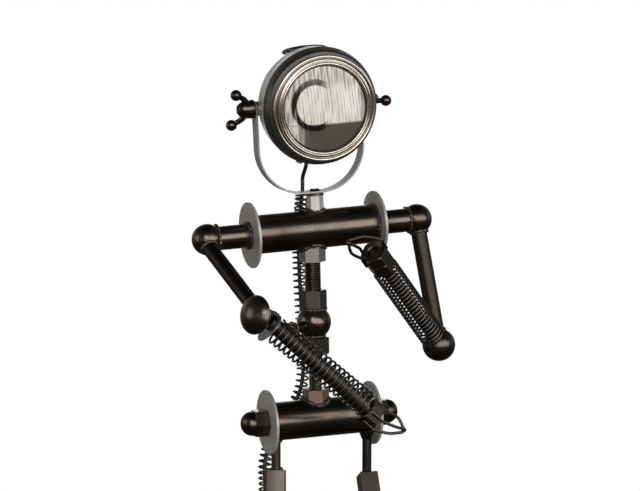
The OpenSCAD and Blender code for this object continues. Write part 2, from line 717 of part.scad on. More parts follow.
// Main tubes with a weld bead at each end, and their washers
module main_tube(l) sideways() difference() {
    union() {
        cylinder(h = l, d = tube_d, center = true);
        for (s = [-1, 1]) bead(tube_r, s * (l / 2 - bead_r - weld_gap));
    }
    cylinder(h = l + 2 * cut, d = tube_d - 2 * tube_wall, center = true);
}
module tube_cut() sideways() cylinder(h = 2 * shoulder_l, d = tube_d + 2 * weld_gap, center = true);
module end_washers(l, d, bore) both_sides() translate([l / 2, 0, 0]) sideways() difference() {
    cylinder(h = washer_t, d = d);
    translate([0, 0, -cut]) cylinder(h = washer_t + 2 * cut, d = bore);
}
module shoulder_tube() color("#2a2725") placed() shoulder_frame() main_tube(shoulder_l);
module shoulder_washers() color("#5a5754") placed() shoulder_frame()
    end_washers(shoulder_l, shoulder_washer_d, stub_pipe_d + 2 * weld_gap);
module shoulder_stubs() color("#2f2b28") placed() shoulder_frame() both_sides() difference() {
    sideways() difference() {
        union() {
            translate([0, 0, shoulder_l / 2 - stub_in])
                cylinder(h = ball_x - shoulder_l / 2 + stub_in, d = stub_pipe_d);
            bead(stub_r, shoulder_l / 2 + washer_t + bead_r + weld_gap);
        }
        translate([0, 0, shoulder_l / 2 - stub_in - cut]) cylinder(h = ball_x, d = stub_pipe_d - 2 * stub_wall);
    }
    translate([ball_x, 0, 0]) sphere(r = shoulder_ball_r + weld_gap);
}
module shoulder_balls() color("#2a2725") placed() {
    translate(right_ball) sphere(r = shoulder_ball_r);
    translate(left_ball) sphere(r = shoulder_ball_r);
}

// Arms
module arm_pipe(a, b) difference() {
    union() {
        bar_along(a, b, arm_pipe_d);
        along(a, b) bead(arm_pipe_d / 2, ball_contact(shoulder_ball_r, arm_pipe_d / 2) + bead_r / 2);
    }
    along(a, b) translate([0, 0, -cut]) cylinder(h = norm(b - a) + 2 * cut, d = arm_pipe_d - 2 * arm_wall);
    translate(a) sphere(r = shoulder_ball_r + weld_gap);
}
module upper_arm_right() color("#2b2826") placed() difference() {
    arm_pipe(right_ball, hub_mid);
    hub_solid(weld_gap);
}
module upper_arm_left() color("#2b2826") placed() difference() {
    arm_pipe(left_ball, left_elbow);
    translate(left_elbow) sphere(r = elbow_ball_r + weld_gap);
}
module at_dome(z) along(right_elbow, right_elbow + dome_axis) translate([0, 0, z]) children();
module elbow_dome() color("#2c2825") placed() {
    intersection() {
        at_dome(dome_head_h - dome_r) sphere(r = dome_r, $fn = 96);
        at_dome(0) cylinder(h = dome_head_h + cut, r = dome_head_r);
    }
    at_dome(-elbow_washer_t - dome_bolt_in) cylinder(h = elbow_washer_t + dome_bolt_in + cut, d = dome_bolt_d);
}
module elbow_washer() color("#77746f") placed() difference() {
    at_dome(-elbow_washer_t) cylinder(h = elbow_washer_t, d = elbow_washer_d);
    at_dome(-elbow_washer_t - cut) cylinder(h = elbow_washer_t + 2 * cut, d = dome_bolt_d + 2 * weld_gap);
}
module hub_solid(g) at_dome(-elbow_washer_t - elbow_hub_l - g)
    cylinder(h = elbow_hub_l + 2 * g, d = elbow_hub_d + 2 * g);
module elbow_hub() color("#2b2826") placed() difference() {
    hub_solid(0);
    at_dome(-elbow_washer_t - dome_bolt_in - weld_gap)
        cylinder(h = dome_bolt_in + 2 * cut, d = dome_bolt_d + 2 * weld_gap);
}
module elbow_ball() color("#2a2725") placed() translate(left_elbow) sphere(r = elbow_ball_r);
module forearm_rod_right() color("#2b2826") placed() difference() {
    bar_along(hub_mid, right_hand + right_forearm * rod_out, right_rod_d);
    hub_solid(weld_gap);
}
module forearm_rod_left() color("#2b2826") placed() difference() {
    bar_along(left_elbow, left_hand + left_forearm * rod_out, left_rod_d);
    translate(left_elbow) sphere(r = elbow_ball_r + weld_gap);
}
module hand_nut(p, w, back, bore) along(p + w * back, p + w * (back + 1)) difference() {
    turned_hex(hand_nut_af, hand_nut_h);
    translate([0, 0, -cut]) cylinder(h = hand_nut_h + 2 * cut, d = bore + 2 * weld_gap);
}
module hand_nut_right() color("#2f2c2a") placed()
    hand_nut(right_hand, right_forearm, -hand_nut_h / 2, right_rod_d);
module hand_nuts_left() color("#2f2c2a") placed() {
    hand_nut(left_hand, left_forearm, -hand_nut_h / 2, left_rod_d);
    hand_nut(left_hand, left_forearm, -hand_nut_h * 1.5 - weld_gap, left_rod_d);
}
module forearm_spring_right() color("#232120") placed()
    spring(right_spring_start, right_spring_end, forearm_spring_d, forearm_wire_d, right_curls);
module forearm_spring_left() color("#232120") placed()
    spring(left_spring_start, left_spring_end, forearm_spring_d, forearm_wire_d, left_curls);

// Bent wires from the flats of the hand nut to a shared tip, each by its flat's angle, bow and end
function side_at(w, f) = let (t = acos(w.z), g = atan2(w.y, w.x))
    cos(f) * [cos(t) * cos(g), cos(t) * sin(g), -sin(t)] + sin(f) * [-sin(g), cos(g), 0];
module fingers(p, w, tip, wires) for (b = wires) {
    start = p - w * hand_nut_h / 4 + side_at(w, b[0]) * (hand_nut_af / 2 + finger_d / 2 + weld_gap);
    straight = [for (k = [0, 0.25, 0.75, 1.05]) start + w * hand_nut_h * k];
    flex(concat(straight, [straight[3] + (tip - straight[3]) * 0.6 + b[1], tip + b[2]]), finger_d, 8, 4);
}
module fingers_right() color("#242220") placed() fingers(right_hand, right_forearm, right_tip,
    [[-30, [-5, 0, -6], [-1, 0, -4]], [-90, [0, -3, 0], [0, -4, 2]], [150, [4, 2, 7], [1, 3, 2]]]);
module fingers_left() color("#242220") placed() fingers(left_hand, left_forearm, left_tip,
    [[150, [5, 0, 8], [1, 0, 4]], [-90, [0, 3, 0], [0, 4, -2]], [-30, [-4, -2, -7], [-1, -3, -2]]]);

// Spine
module spine_hex(z, af, h) spine_frame(z) rotate([0, 0, nut_turn]) hex(af, h);
module rod_bore(z, h, d) spine_frame(z) cylinder(h = h, d = d + 2 * weld_gap);
module waist_ball_cut() spine_frame(ball_z) sphere(r = waist_ball_r + weld_gap);
module hip_nut() color("#6e554b") placed() difference() {
    spine_frame() rotate([0, 0, nut_turn]) turned_hex(spine_nut_af, hip_nut_top);
    hip_frame() tube_cut();
    rod_bore(hip_nut_top - rod_seat, rod_seat * 2, waist_rod_d);
}
module lower_spine_rod() color("#3a3735") placed() spine_frame(hip_nut_top - rod_seat + weld_gap)
    cylinder(h = waist_rod_top - hip_nut_top + rod_seat - 2 * weld_gap, d = waist_rod_d);
module waist_nut() color("#3a3735") placed() difference() {
    spine_hex(rod_z, waist_nut_af, waist_nut_h + 6);
    rod_bore(rod_z - cut, waist_rod_top - rod_z + cut, waist_rod_d);
    waist_ball_cut();
}
module waist_ball() color("#2a2725") placed() spine_frame(ball_z) sphere(r = waist_ball_r);
module coupling_nut() color("#33302e") placed() difference() {
    spine_frame(ball_z + coupling_low) rotate([0, 0, nut_turn]) turned_hex(spine_nut_af, coupling_top - coupling_low);
    rod_bore(upper_rod_z - weld_gap, coupling_seat * 2, spine_rod_d);
    waist_ball_cut();
}
module upper_spine_rod() color("#3a3735") placed() spine_frame(upper_rod_z)
    cylinder(h = block_z + rod_seat - upper_rod_z, d = spine_rod_d);
module spine_block() color("#55514d") placed() difference() {
    spine_hex(block_z, spine_nut_af, block_h + 12);
    rod_bore(block_z - cut, rod_seat + cut + weld_gap, spine_rod_d);
    shoulder_frame() tube_cut();
}

// Hips
module hip_tube() color("#2a2725") placed() difference() {
    hip_frame() main_tube(hip_l);
    for (leg = legs) translate([leg[1].x, leg[1].y, hip_z - 60]) cylinder(h = 60, d = hip_rod_d + 2 * weld_gap);
}
module hip_washers() color("#4c4946") placed() hip_frame()
    end_washers(hip_l, hip_washer_d, hip_bar_d + 2 * weld_gap);
module dome_nuts() color("#35322f") placed() hip_frame() {
    sideways() cylinder(h = 2 * hip_end, d = hip_bar_d, center = true);
    both_sides() translate([hip_end, 0, 0]) sideways() {
        rotate([0, 0, 30]) turned_hex(dome_nut_af, dome_nut_hex);
        intersection() {
            translate([0, 0, dome_nut_hex + 2]) sphere(d = dome_nut_af - 1);
            translate([0, 0, dome_nut_hex]) cylinder(h = dome_nut_af, d = dome_nut_af);
        }
    }
}

// Legs
module leg_bar_along(a, b, turn, g = 0) along(a, b) rotate([0, 0, turn])
    translate([-leg_bar / 2 - g, -leg_bar / 2 - g, -g])
        cube([leg_bar + 2 * g, leg_bar + 2 * g, norm(b - a) + 2 * g]);
module rod_above(leg, h, d1, d2) translate([leg[1].x, leg[1].y, rod_head - h]) cylinder(h = h, d1 = d1, d2 = d2);
module thigh_rod(i) difference() {
    rod_above(legs[i], rod_head - legs[i][1].z + rod_foot, hip_rod_d, hip_rod_d);
    leg_bar_along(legs[i][1], legs[i][2], turns[i][0], weld_gap);
}
// Cone of weld metal under the hip tube, round the left rod
module gusset() difference() {
    translate([left_leg[1].x, left_leg[1].y, hip_z - tube_r - gusset_h])
        cylinder(h = gusset_h * 2, d1 = hip_rod_d + 2, d2 = gusset_d);
    hip_frame() tube_cut();
    hip_frame() translate([hip_l / 2 - bead_r * 2 - weld_gap * 2, -tube_d, -tube_d]) cube(2 * tube_d);
}
module thigh_rods() color("#2b2826") placed() {
    thigh_rod(0);
    thigh_rod(1);
    gusset();
}
module thigh_bar(i) difference() {
    leg_bar_along(legs[i][1], legs[i][2], turns[i][0]);
    translate(legs[i][2]) sphere(r = knee_r + weld_gap);
}
module thigh_bars() color("#33302e") placed() {
    thigh_bar(0);
    thigh_bar(1);
}
module knee_balls() color("#2a2725") placed() {
    translate(right_leg[2]) sphere(r = knee_r);
    translate(left_leg[2]) sphere(r = knee_r);
}
module shin_bar(i, g = 0) difference() {
    leg_bar_along(legs[i][3], legs[i][2], turns[i][1], g);
    translate(legs[i][2]) sphere(r = knee_r + weld_gap);
    translate([legs[i][3].x, legs[i][3].y, 0]) cube([300, 300, 2 * (ankle_top + weld_gap)], center = true);
}
module shin_bars() color("#33302e") placed() {
    shin_bar(0);
    shin_bar(1);
}
module ankle_nuts() color("#3a3735") placed() for (leg = legs)
    translate([leg[3].x, leg[3].y, foot_t]) rotate([0, 0, nut_turn]) turned_hex(ankle_af, ankle_h);
module foot_outline() {
    translate([-foot_w / 2, -foot_toe + foot_w / 2]) square([foot_w, foot_toe + foot_heel - foot_w / 2 - heel_r]);
    translate([0, -foot_toe + foot_w / 2]) circle(d = foot_w);
    translate([-foot_w / 2 + heel_r, foot_heel - 2 * heel_r]) square([foot_w - 2 * heel_r, 2 * heel_r]);
    for (s = [-1, 1]) translate([s * (foot_w / 2 - heel_r), foot_heel - heel_r]) circle(r = heel_r);
}
module foot(i) translate([legs[i][3].x, legs[i][3].y, 0]) rotate([0, 0, turns[i][2]])
    linear_extrude(height = foot_t) foot_outline();
module feet() color("#2f2c2a") placed() {
    foot(0);
    foot(1);
}

// Cable, its spring sleeve and the cord behind the robot
function sleeve_spring() = let (c = sleeve_path, t = tangents(c), s = sides_from(t, [0, 1, 0]),
    m = sleeve_curls * 8, r = (sleeve_d - sleeve_wire_d) / 2)
    [for (i = [0 : m]) let (q = i / m * (len(c) - 1), k = min(floor(q), len(c) - 2), f = q - k,
        o = c[k] * (1 - f) + c[k + 1] * f, u = unit(s[k] * (1 - f) + s[k + 1] * f),
        w = unit(t[k] * (1 - f) + t[k + 1] * f), v = cross(w, u), g = 45 * i)
        [o + r * (cos(g) * u + sin(g) * v), cos(g) * u + sin(g) * v]];
module cable_sleeve() color("#232120") placed() {
    h = sleeve_spring();
    c0 = sleeve_path[0] - sleeve_path[1];
    c1 = sleeve_path[len(sleeve_path) - 1] - sleeve_path[len(sleeve_path) - 2];
    last = len(h) - 1;
    p = concat([h[0][0] + unit(c0) * sleeve_wire_d], [for (x = h) x[0]], [h[last][0] + unit(c1) * sleeve_wire_d]);
    s = concat([h[0][1]], [for (x = h) x[1]], [h[last][1]]);
    t = tangents(p);
    echo(sleeve_gap = self_gap(p, 6, sleeve_wire_d));
    tube(p, [for (i = [0 : len(p) - 1]) unit(s[i] - t[i] * (s[i] * t[i]))], sleeve_wire_d, 6);
}
clip_bore = sleeve_d + 2 * run_gap + 2.4;
clip_od = clip_bore + 2 * clip_t;
module sleeve_clip(at) difference() {
    union() {
        translate(at) cylinder(h = clip_h, d = clip_od);
        translate(at - [clip_tab / 2, sleeve_d / 2 + clip_reach, 0])
            cube([clip_tab, sleeve_d / 2 + clip_reach, clip_h]);
    }
    translate(at - [0, 0, cut]) cylinder(h = clip_h + 2 * cut, d = clip_bore);
    shin_bar(0, weld_gap);
}
module sleeve_clips() color("#3a3735") placed() for (c = clip_spans)
    sleeve_clip(sleeve_path[round(c * sleeve_steps)] - [0, 0, clip_h / 2]);
module lamp_lead() color("#111111") placed() flex(sleeve_route, cable_d, 8, 3);
module yoke_lead() color("#111111") placed() flex(yoke_route, cable_d, 8, 3);
module head_lead() color("#111111") placed() flex(head_route, cable_d, 8, 3);
module cord() color("#111111") placed() flex(cord_route, cable_d, 8, 4);
// In on the floor, turn by turn, and out again on the layer above
function coil_points() = let (half = coil_sides * coil_turns, rise = coil_sides / 2)
    [for (i = [0 : 2 * half]) let (f = 90 - 360 / coil_sides * i,
        r = coil_r - coil_step * min(i, 2 * half - i) / coil_sides,
        up = max(0, min(1, (i - half + rise / 2) / rise)))
        [coil_at.x + r * cos(f), coil_at.y + r * sin(f), coil_low + up * coil_step]];
module cord_coil() color("#111111") placed() {
    p = concat([switch_out + [weld_gap, 0, 0], switch_out + [cable_d, 0, 0], switch_out + [18, 0, -2.6]],
        coil_points(),
        [plug_at - [24, 0, 0], plug_at - [cable_d, 0, 0], plug_at]);
    t = tangents(p);
    echo(coil_gap = self_gap(p, 8, cable_d));
    tube(p, sides_from(t, [0, 0, 1]), cable_d, 6);
}
module plug() color("#151515") placed() translate(plug_at) {
    translate([plug_neck, 0, -plug_h / 2]) linear_extrude(height = plug_h) difference() {
        translate([0, -plug_w / 2]) square([plug_l - plug_neck, plug_w]);
        for (s = [0, 1]) mirror([0, s]) polygon([[-cut, 6],
            [plug_grip - cut, plug_w / 2 - 3],
            [plug_grip - cut, plug_w / 2 + cut],
            [-cut, plug_w / 2 + cut]]);
    }
    sideways() cylinder(h = plug_neck + cut, d1 = cable_d + 2, d2 = cable_d + 5);
    for (s = [-1, 1]) translate([plug_l - cut, s * pin_step, 0]) sideways()
        cylinder(h = pin_l + cut, d = pin_d, $fn = 24);
}
module rocker_pin(g) rotate([90, 0, 0])
    cylinder(h = rocker_w + 2 * (rocker_pin_l + g), d = rocker_pin_d + 2 * g, center = true);
module cord_switch() color("#151515") placed() translate(switch_at) difference() {
    union() {
        translate([switch_end_l - switch_l / 2, -switch_w / 2, 0])
            cube([switch_l - 2 * switch_end_l, switch_w, switch_h]);
        translate([-switch_l / 2, switch_end_in - switch_w / 2, switch_end_z])
            cube([switch_l, switch_w - 2 * switch_end_in, switch_h - 2 * switch_end_z]);
    }
    translate([-rocker_l / 2 - run_gap, -rocker_w / 2 - run_gap, switch_h - pocket_h])
        cube([rocker_l + 2 * run_gap, rocker_w + 2 * run_gap, pocket_h + cut]);
    translate([0, 0, rocker_z]) rocker_pin(fit_gap);
}
module switch_rocker() color("#1c1c1c") placed() translate(switch_at + [0, 0, rocker_z]) {
    rotate([90, -rocker_tilt, 0]) linear_extrude(height = rocker_w, center = true) polygon([
        [1 - rocker_l / 2, 0],
        [-rocker_h, -rocker_h],
        [rocker_h, -rocker_h],
        [rocker_l / 2 - 1, 0],
        [rocker_l / 2 - 1, rocker_h],
        [0, rocker_dip],
        [1 - rocker_l / 2, rocker_h]]);
    rocker_pin(0);
}

rear_shell();
front_drum();
bezel();
lens_glass();
reflector();
bulb_holder();
bulb();
vent_cap();
cable_grommet();
tilt_studs();
head_lead();
wing_nut_right();
wing_nut_left();
yoke();
yoke_lead();
swivel_bolt();
neck_washer();
neck_nut();
shoulder_tube();
shoulder_washers();
shoulder_stubs();
shoulder_balls();
upper_arm_right();
upper_arm_left();
elbow_dome();
elbow_washer();
elbow_hub();
elbow_ball();
forearm_rod_right();
forearm_rod_left();
forearm_spring_right();
forearm_spring_left();
hand_nut_right();
hand_nuts_left();
fingers_right();
fingers_left();
spine_block();
upper_spine_rod();
coupling_nut();
waist_ball();
waist_nut();
lower_spine_rod();
hip_nut();
hip_tube();
hip_washers();
dome_nuts();
thigh_rods();
thigh_bars();
knee_balls();
shin_bars();
ankle_nuts();
feet();
cable_sleeve();
sleeve_clips();
lamp_lead();
cord();
cord_coil();
plug();
cord_switch();
switch_rocker();
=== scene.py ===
"""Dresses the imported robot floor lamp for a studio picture.

The lamp is a standing robot welded from pipe, bar, nuts and springs, with a headlamp for a head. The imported
model gives the frame and the joints. This script builds the detailed pieces in mesh code, gives every piece a
procedural finish, and sets the floor, the lights and the camera.

Lengths are in millimetres in the part's own frame and become metres when a mesh is made.
"""
import json
import logging
from dataclasses import dataclass
from enum import Enum
from math import acos, asin, atan2, cos, pi, radians, sin, sqrt, tau
from typing import Callable, Iterable, Sequence

import bmesh
import bpy
from bpy.types import Material, Node, NodeSocket as Socket, NodeTree, Object, Scene
from mathutils import Matrix, Vector, noise


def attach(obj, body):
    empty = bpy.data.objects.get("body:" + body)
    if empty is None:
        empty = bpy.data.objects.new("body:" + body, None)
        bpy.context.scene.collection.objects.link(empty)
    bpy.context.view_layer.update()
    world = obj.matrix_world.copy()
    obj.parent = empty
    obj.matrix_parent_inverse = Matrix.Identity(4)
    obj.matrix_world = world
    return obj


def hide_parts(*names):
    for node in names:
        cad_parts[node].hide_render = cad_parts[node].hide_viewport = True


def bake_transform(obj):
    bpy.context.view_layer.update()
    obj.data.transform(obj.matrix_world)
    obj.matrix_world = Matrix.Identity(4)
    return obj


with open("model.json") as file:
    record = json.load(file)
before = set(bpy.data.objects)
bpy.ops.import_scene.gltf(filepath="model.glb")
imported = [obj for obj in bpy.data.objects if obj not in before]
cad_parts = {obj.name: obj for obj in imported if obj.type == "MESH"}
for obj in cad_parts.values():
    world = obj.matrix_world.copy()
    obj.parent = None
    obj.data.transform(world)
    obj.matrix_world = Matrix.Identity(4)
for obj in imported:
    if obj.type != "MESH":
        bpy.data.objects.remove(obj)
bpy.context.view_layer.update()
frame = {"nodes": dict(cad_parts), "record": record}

logging.basicConfig(level=logging.INFO, format="%(name)s: %(message)s")
log = logging.getLogger("lamp")

MM = 0.001
WIRE_EDGE = 80.0
THREAD_EDGE = 70.0
NODE_EDGE = 34.0
ORIGIN_SHIFT = Vector((-9.1, 93.7, 0.0))
Point = Sequence[float]
Colour = Spot = tuple[float, float, float]
Route = tuple[Spot, ...]
Pair = tuple[float, float]
Rise = tuple[float, float, float, float]


class Body(Enum):
    """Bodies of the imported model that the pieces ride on."""

    ROBOT = "robot"
    YOKE = "yoke"
    HEAD = "head"
    WING_RIGHT = "wing_nut_right"
    WING_LEFT = "wing_nut_left"


class Slot(Enum):
    """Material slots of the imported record."""

    DARK = "dark_steel"
    MID = "mid_steel"
    LIGHT = "light_steel"
    BROWN = "brown_steel"
    SHELL = "shell_grey"
    CHROME = "warm_chrome"
    GLASS = "clear_glass"
    BULB = "frosted_glass"
    MIRROR = "mirror_silver"
    CERAMIC = "cream_ceramic"
    SPRING = "spring_steel"
    RUBBER = "black_rubber"
    PLASTIC = "black_plastic"


# Finishes
@dataclass(frozen=True)
class Finish:
    """Looks of one surface.

    Attributes:
        base: Main colour, linear.
        stain: Second colour that blotches mix in.
        metal: Metallic share.
        rough: Mean roughness.
        rough_spread: How far the roughness strays from its mean.
        grain: Size of the surface grain as a noise scale.
        bump: Height of the grain in millimetres.
        coat: Weight of the clear lacquer.
        wear: How much paler the raised edges are.
        blotch: Size of the blotches as a noise scale.
        specks: How dark the small specks are.
        name: Name of the material, where it isn't its slot's own.
    """

    base: Colour
    stain: Colour
    metal: float = 0.85
    rough: float = 0.35
    rough_spread: float = 0.1
    grain: float = 900.0
    bump: float = 0.05
    coat: float = 0.25
    wear: float = 0.3
    blotch: float = 18.0
    specks: float = 0.55
    name: str = ""


FINISHES: dict[Slot, Finish] = {
    Slot.DARK: Finish((0.108, 0.09, 0.076), (0.05, 0.04, 0.032), metal=1.0, coat=0.0, rough=0.22, rough_spread=0.08,
                      wear=0.25),
    Slot.MID: Finish((0.38, 0.37, 0.355), (0.46, 0.445, 0.43), metal=0.45, rough=0.46, coat=0.1, wear=0.2),
    Slot.LIGHT: Finish((0.62, 0.57, 0.51), (0.44, 0.4, 0.35), metal=0.6, rough=0.42, wear=0.3),
    Slot.BROWN: Finish((0.2, 0.135, 0.1), (0.1, 0.07, 0.055), metal=0.6, rough=0.42, wear=0.25),
    Slot.SHELL: Finish((0.52, 0.51, 0.495), (0.6, 0.59, 0.57), metal=0.45, rough=0.36, wear=0.15),
    Slot.CHROME: Finish((0.68, 0.64, 0.58), (0.56, 0.52, 0.46), metal=1.0, rough=0.17, rough_spread=0.06, coat=0.0,
                        wear=0.1),
    Slot.SPRING: Finish((0.075, 0.068, 0.062), (0.04, 0.035, 0.031), metal=1.0, coat=0.0, rough=0.34, wear=0.2),
    Slot.CERAMIC: Finish((0.8, 0.76, 0.68), (0.7, 0.66, 0.6), metal=0.0, rough=0.3, coat=0.5, wear=0.0),
    Slot.RUBBER: Finish((0.012, 0.012, 0.012), (0.02, 0.02, 0.02), metal=0.0, rough=0.5, coat=0.0, wear=0.0),
    Slot.PLASTIC: Finish((0.015, 0.015, 0.015), (0.022, 0.022, 0.022), metal=0.0, rough=0.42, coat=0.0, wear=0.05),
}
WELD = Finish((0.06, 0.05, 0.042), (0.13, 0.105, 0.085), rough=0.46, rough_spread=0.12, grain=420.0, bump=0.2,
              wear=0.05, blotch=110.0, name="weld")
PIPE = Finish((0.04, 0.033, 0.027), (0.026, 0.021, 0.018), metal=1.0, coat=0.0, rough=0.4, rough_spread=0.1,
              wear=0.2, name="pipe")
BAR = Finish((0.05, 0.04, 0.032), (0.03, 0.024, 0.019), metal=1.0, coat=0.1, rough=0.32, rough_spread=0.1,
             wear=0.25, name="bar")
BLOCK = Finish((0.13, 0.126, 0.12), (0.07, 0.067, 0.064), metal=0.6, rough=0.38, wear=0.4, name="block")
DRUM = Finish((0.055, 0.052, 0.049), (0.085, 0.08, 0.075), metal=0.7, rough=0.36, wear=0.3, name="drum")
BAND = Finish((0.2, 0.165, 0.135), (0.14, 0.115, 0.095), metal=1.0, rough=0.3, rough_spread=0.08, coat=0.0,
              wear=0.2, name="bezel_band")


@dataclass(frozen=True)
class LensLook:
    """What shows in the lens glass, with light and shade painted into its colour. Places are shares of the glass's
    radius from its middle, +X to the left arm.

    Attributes:
        ring_mid, ring_half: Middle and half sizes of the painted image of the dark shield seen through the glass.
        ring_band: Rise and fall of its painted dark line, in shares of its half sizes.
        ring_end: Where the line fades out at its open side.
        inside: Where the field with painted light inside the shield ends.
        streaks: Scale of the milky streaks.
        shaded_streaks, lit: Milky streaks with painted shade outside the shield and where the open side dims, and with
            painted light inside it.
        seam: Where the shield's side turns to the open side.
        dim_top, dim_side: Where the open side darkens with painted shade.
        square: Rise and fall of the bright square, a painted highlight, across and up.
        crease_shade, crease_slant: Colour of the painted shade in the creases, and the creases' lean.
        smoke_top, smoke_side: Where the smoked lower field starts.
        smoke: Its dark and pale tone.
        line_band, line: Rise and fall of the pale line over it, and its colour.
        shield: Colour of the shield's painted image, a painted dark ring.
        clear: Transmission of the milky glass and of the smoked field.
    """

    # Painted image of the dark shield seen through the glass.
    ring_mid: Pair = (-0.25, 0.09)
    ring_half: Pair = (0.55, 0.59)
    ring_band: Rise = (0.74, 0.82, 0.97, 1.06)
    ring_end: Pair = (0.12, -0.1)
    # Painted light inside the shield and painted shade outside it, over the milky streaks.
    inside: Pair = (0.9, 1.0)
    streaks: Spot = (16.0, 1.6, 1.0)
    shaded_streaks: tuple[Colour, Colour] = ((0.34, 0.33, 0.3), (0.84, 0.82, 0.78))
    lit: tuple[Colour, Colour] = ((0.8, 0.78, 0.7), (0.98, 0.96, 0.9))
    seam: Pair = (-0.14, 0.1)
    # Painted shade on the open side, and a painted highlight square.
    dim_top: Pair = (0.4, 0.62)
    dim_side: Pair = (0.78, 0.9)
    square: tuple[Rise, ...] = ((0.32, 0.44, 0.74, 0.84), (-0.2, -0.1, 0.33, 0.42))
    # Painted shade in the flutes' creases.
    crease_slant: float = 0.1
    crease_shade: Colour = (0.1, 0.095, 0.085)
    smoke_top: Pair = (-0.33, -0.37)
    smoke_side: Pair = (-0.72, -0.36)
    smoke: tuple[Colour, Colour] = ((0.11, 0.095, 0.08), (0.21, 0.185, 0.16))
    line_band: Rise = (-0.38, -0.36, -0.35, -0.33)
    line: Colour = (0.5, 0.48, 0.44)
    # Colour of the painted shield image.
    shield: Colour = (0.012, 0.012, 0.011)
    clear: Pair = (0.22, 0.5)


class Graph:
    """Shader nodes of one material or world, made and linked by short calls."""

    def __init__(self, tree: NodeTree) -> None:
        """Keeps the tree that the nodes go into."""
        self.tree = tree

    def fill(self, node: Node, inputs: dict[str | int, object]) -> Node:
        """Links sockets to a node's inputs, and sets numbers and colours on the inputs themselves.

        Args:
            node: The node.
            inputs: Sockets, numbers, vectors or colours, by the input's name or number.

        Returns:
            The node.
        """
        for name, value in inputs.items():
            if isinstance(value, Socket):
                self.tree.links.new(value, node.inputs[name])
            elif node.inputs[name].type == "RGBA":
                node.inputs[name].default_value = (*value, 1.0)
            else:
                node.inputs[name].default_value = value
        return node

    def node(self, kind: str, inputs: dict[str | int, object] | None = None, **settings: object) -> Node:
        """Makes a node.

        Args:
            kind: Type of the node.
            inputs: What its inputs get, as in fill().
            settings: Properties that are set before the inputs.

        Returns:
            The node.
        """
        made = self.tree.nodes.new(kind)
        for name, value in settings.items():
            setattr(made, name, value)
        return self.fill(made, inputs or {})

    def place(self) -> Socket:
        """Gives the surface's own coordinates."""
        return self.node("ShaderNodeTexCoord").outputs["Object"]

    def noise(self, place: Socket, scale: float, detail: float = 2.0) -> Socket:
        """Gives a cloudy pattern."""
        return self.node("ShaderNodeTexNoise", {"Vector": place, "Scale": scale, "Detail": detail}).outputs["Fac"]

    def span(self, value: Socket, band: Pair, to: Pair = (0.0, 1.0),
             kind: str = "LINEAR") -> Socket:
        """Maps a band of values to another.

        Args:
            value: The value.
            band: First and last value of the band.
            to: What these two become.
            kind: LINEAR, or SMOOTHSTEP for soft ends.

        Returns:
            The mapped value.
        """
        return self.node("ShaderNodeMapRange", {
            "Value": value, "From Min": band[0], "From Max": band[1], "To Min": to[0], "To Max": to[1]},
            interpolation_type=kind).outputs["Result"]

    def step(self, value: Socket, band: Pair, top: float = 1.0) -> Socket:
        """Gives a soft step from 0 to a top over a band."""
        return self.span(value, band, (0.0, top), "SMOOTHSTEP")

    def window(self, value: Socket, band: Rise) -> Socket:
        """Gives a soft window that rises over the band's first two values and falls over its last two."""
        return self.maths("MULTIPLY", self.step(value, band[:2]), self.step(value, (band[3], band[2])))

    def maths(self, kind: str, *values: Socket | float) -> Socket:
        """Gives the result of one operation on values."""
        return self.node("ShaderNodeMath", dict(enumerate(values)), operation=kind).outputs["Value"]

    def along(self, place: Socket, way: Vector) -> Socket:
        """Gives how far a place lies along a way."""
        return self.node("ShaderNodeVectorMath", {0: place, 1: way}, operation="DOT_PRODUCT").outputs["Value"]

    def mix(self, factor: Socket, first: Socket | Colour, second: Socket | Colour) -> Socket:
        """Mixes two colours."""
        return self.node("ShaderNodeMix", {"Factor": factor, "A": first, "B": second},
                         data_type="RGBA").outputs["Result"]

    def ramp(self, factor: Socket, stops: Sequence[tuple[float, Colour]]) -> Socket:
        """Runs a factor through a row of colours.

        Args:
            factor: The factor.
            stops: Place and colour of each stop, from 0 to 1.

        Returns:
            The colour.
        """
        made = self.node("ShaderNodeValToRGB", {"Fac": factor})
        elements = made.color_ramp.elements
        while len(elements) < len(stops):
            elements.new(0.5)
        for element, (position, colour) in zip(elements, stops):
            element.position = position
            element.color = (*colour, 1.0)
        return made.outputs["Color"]


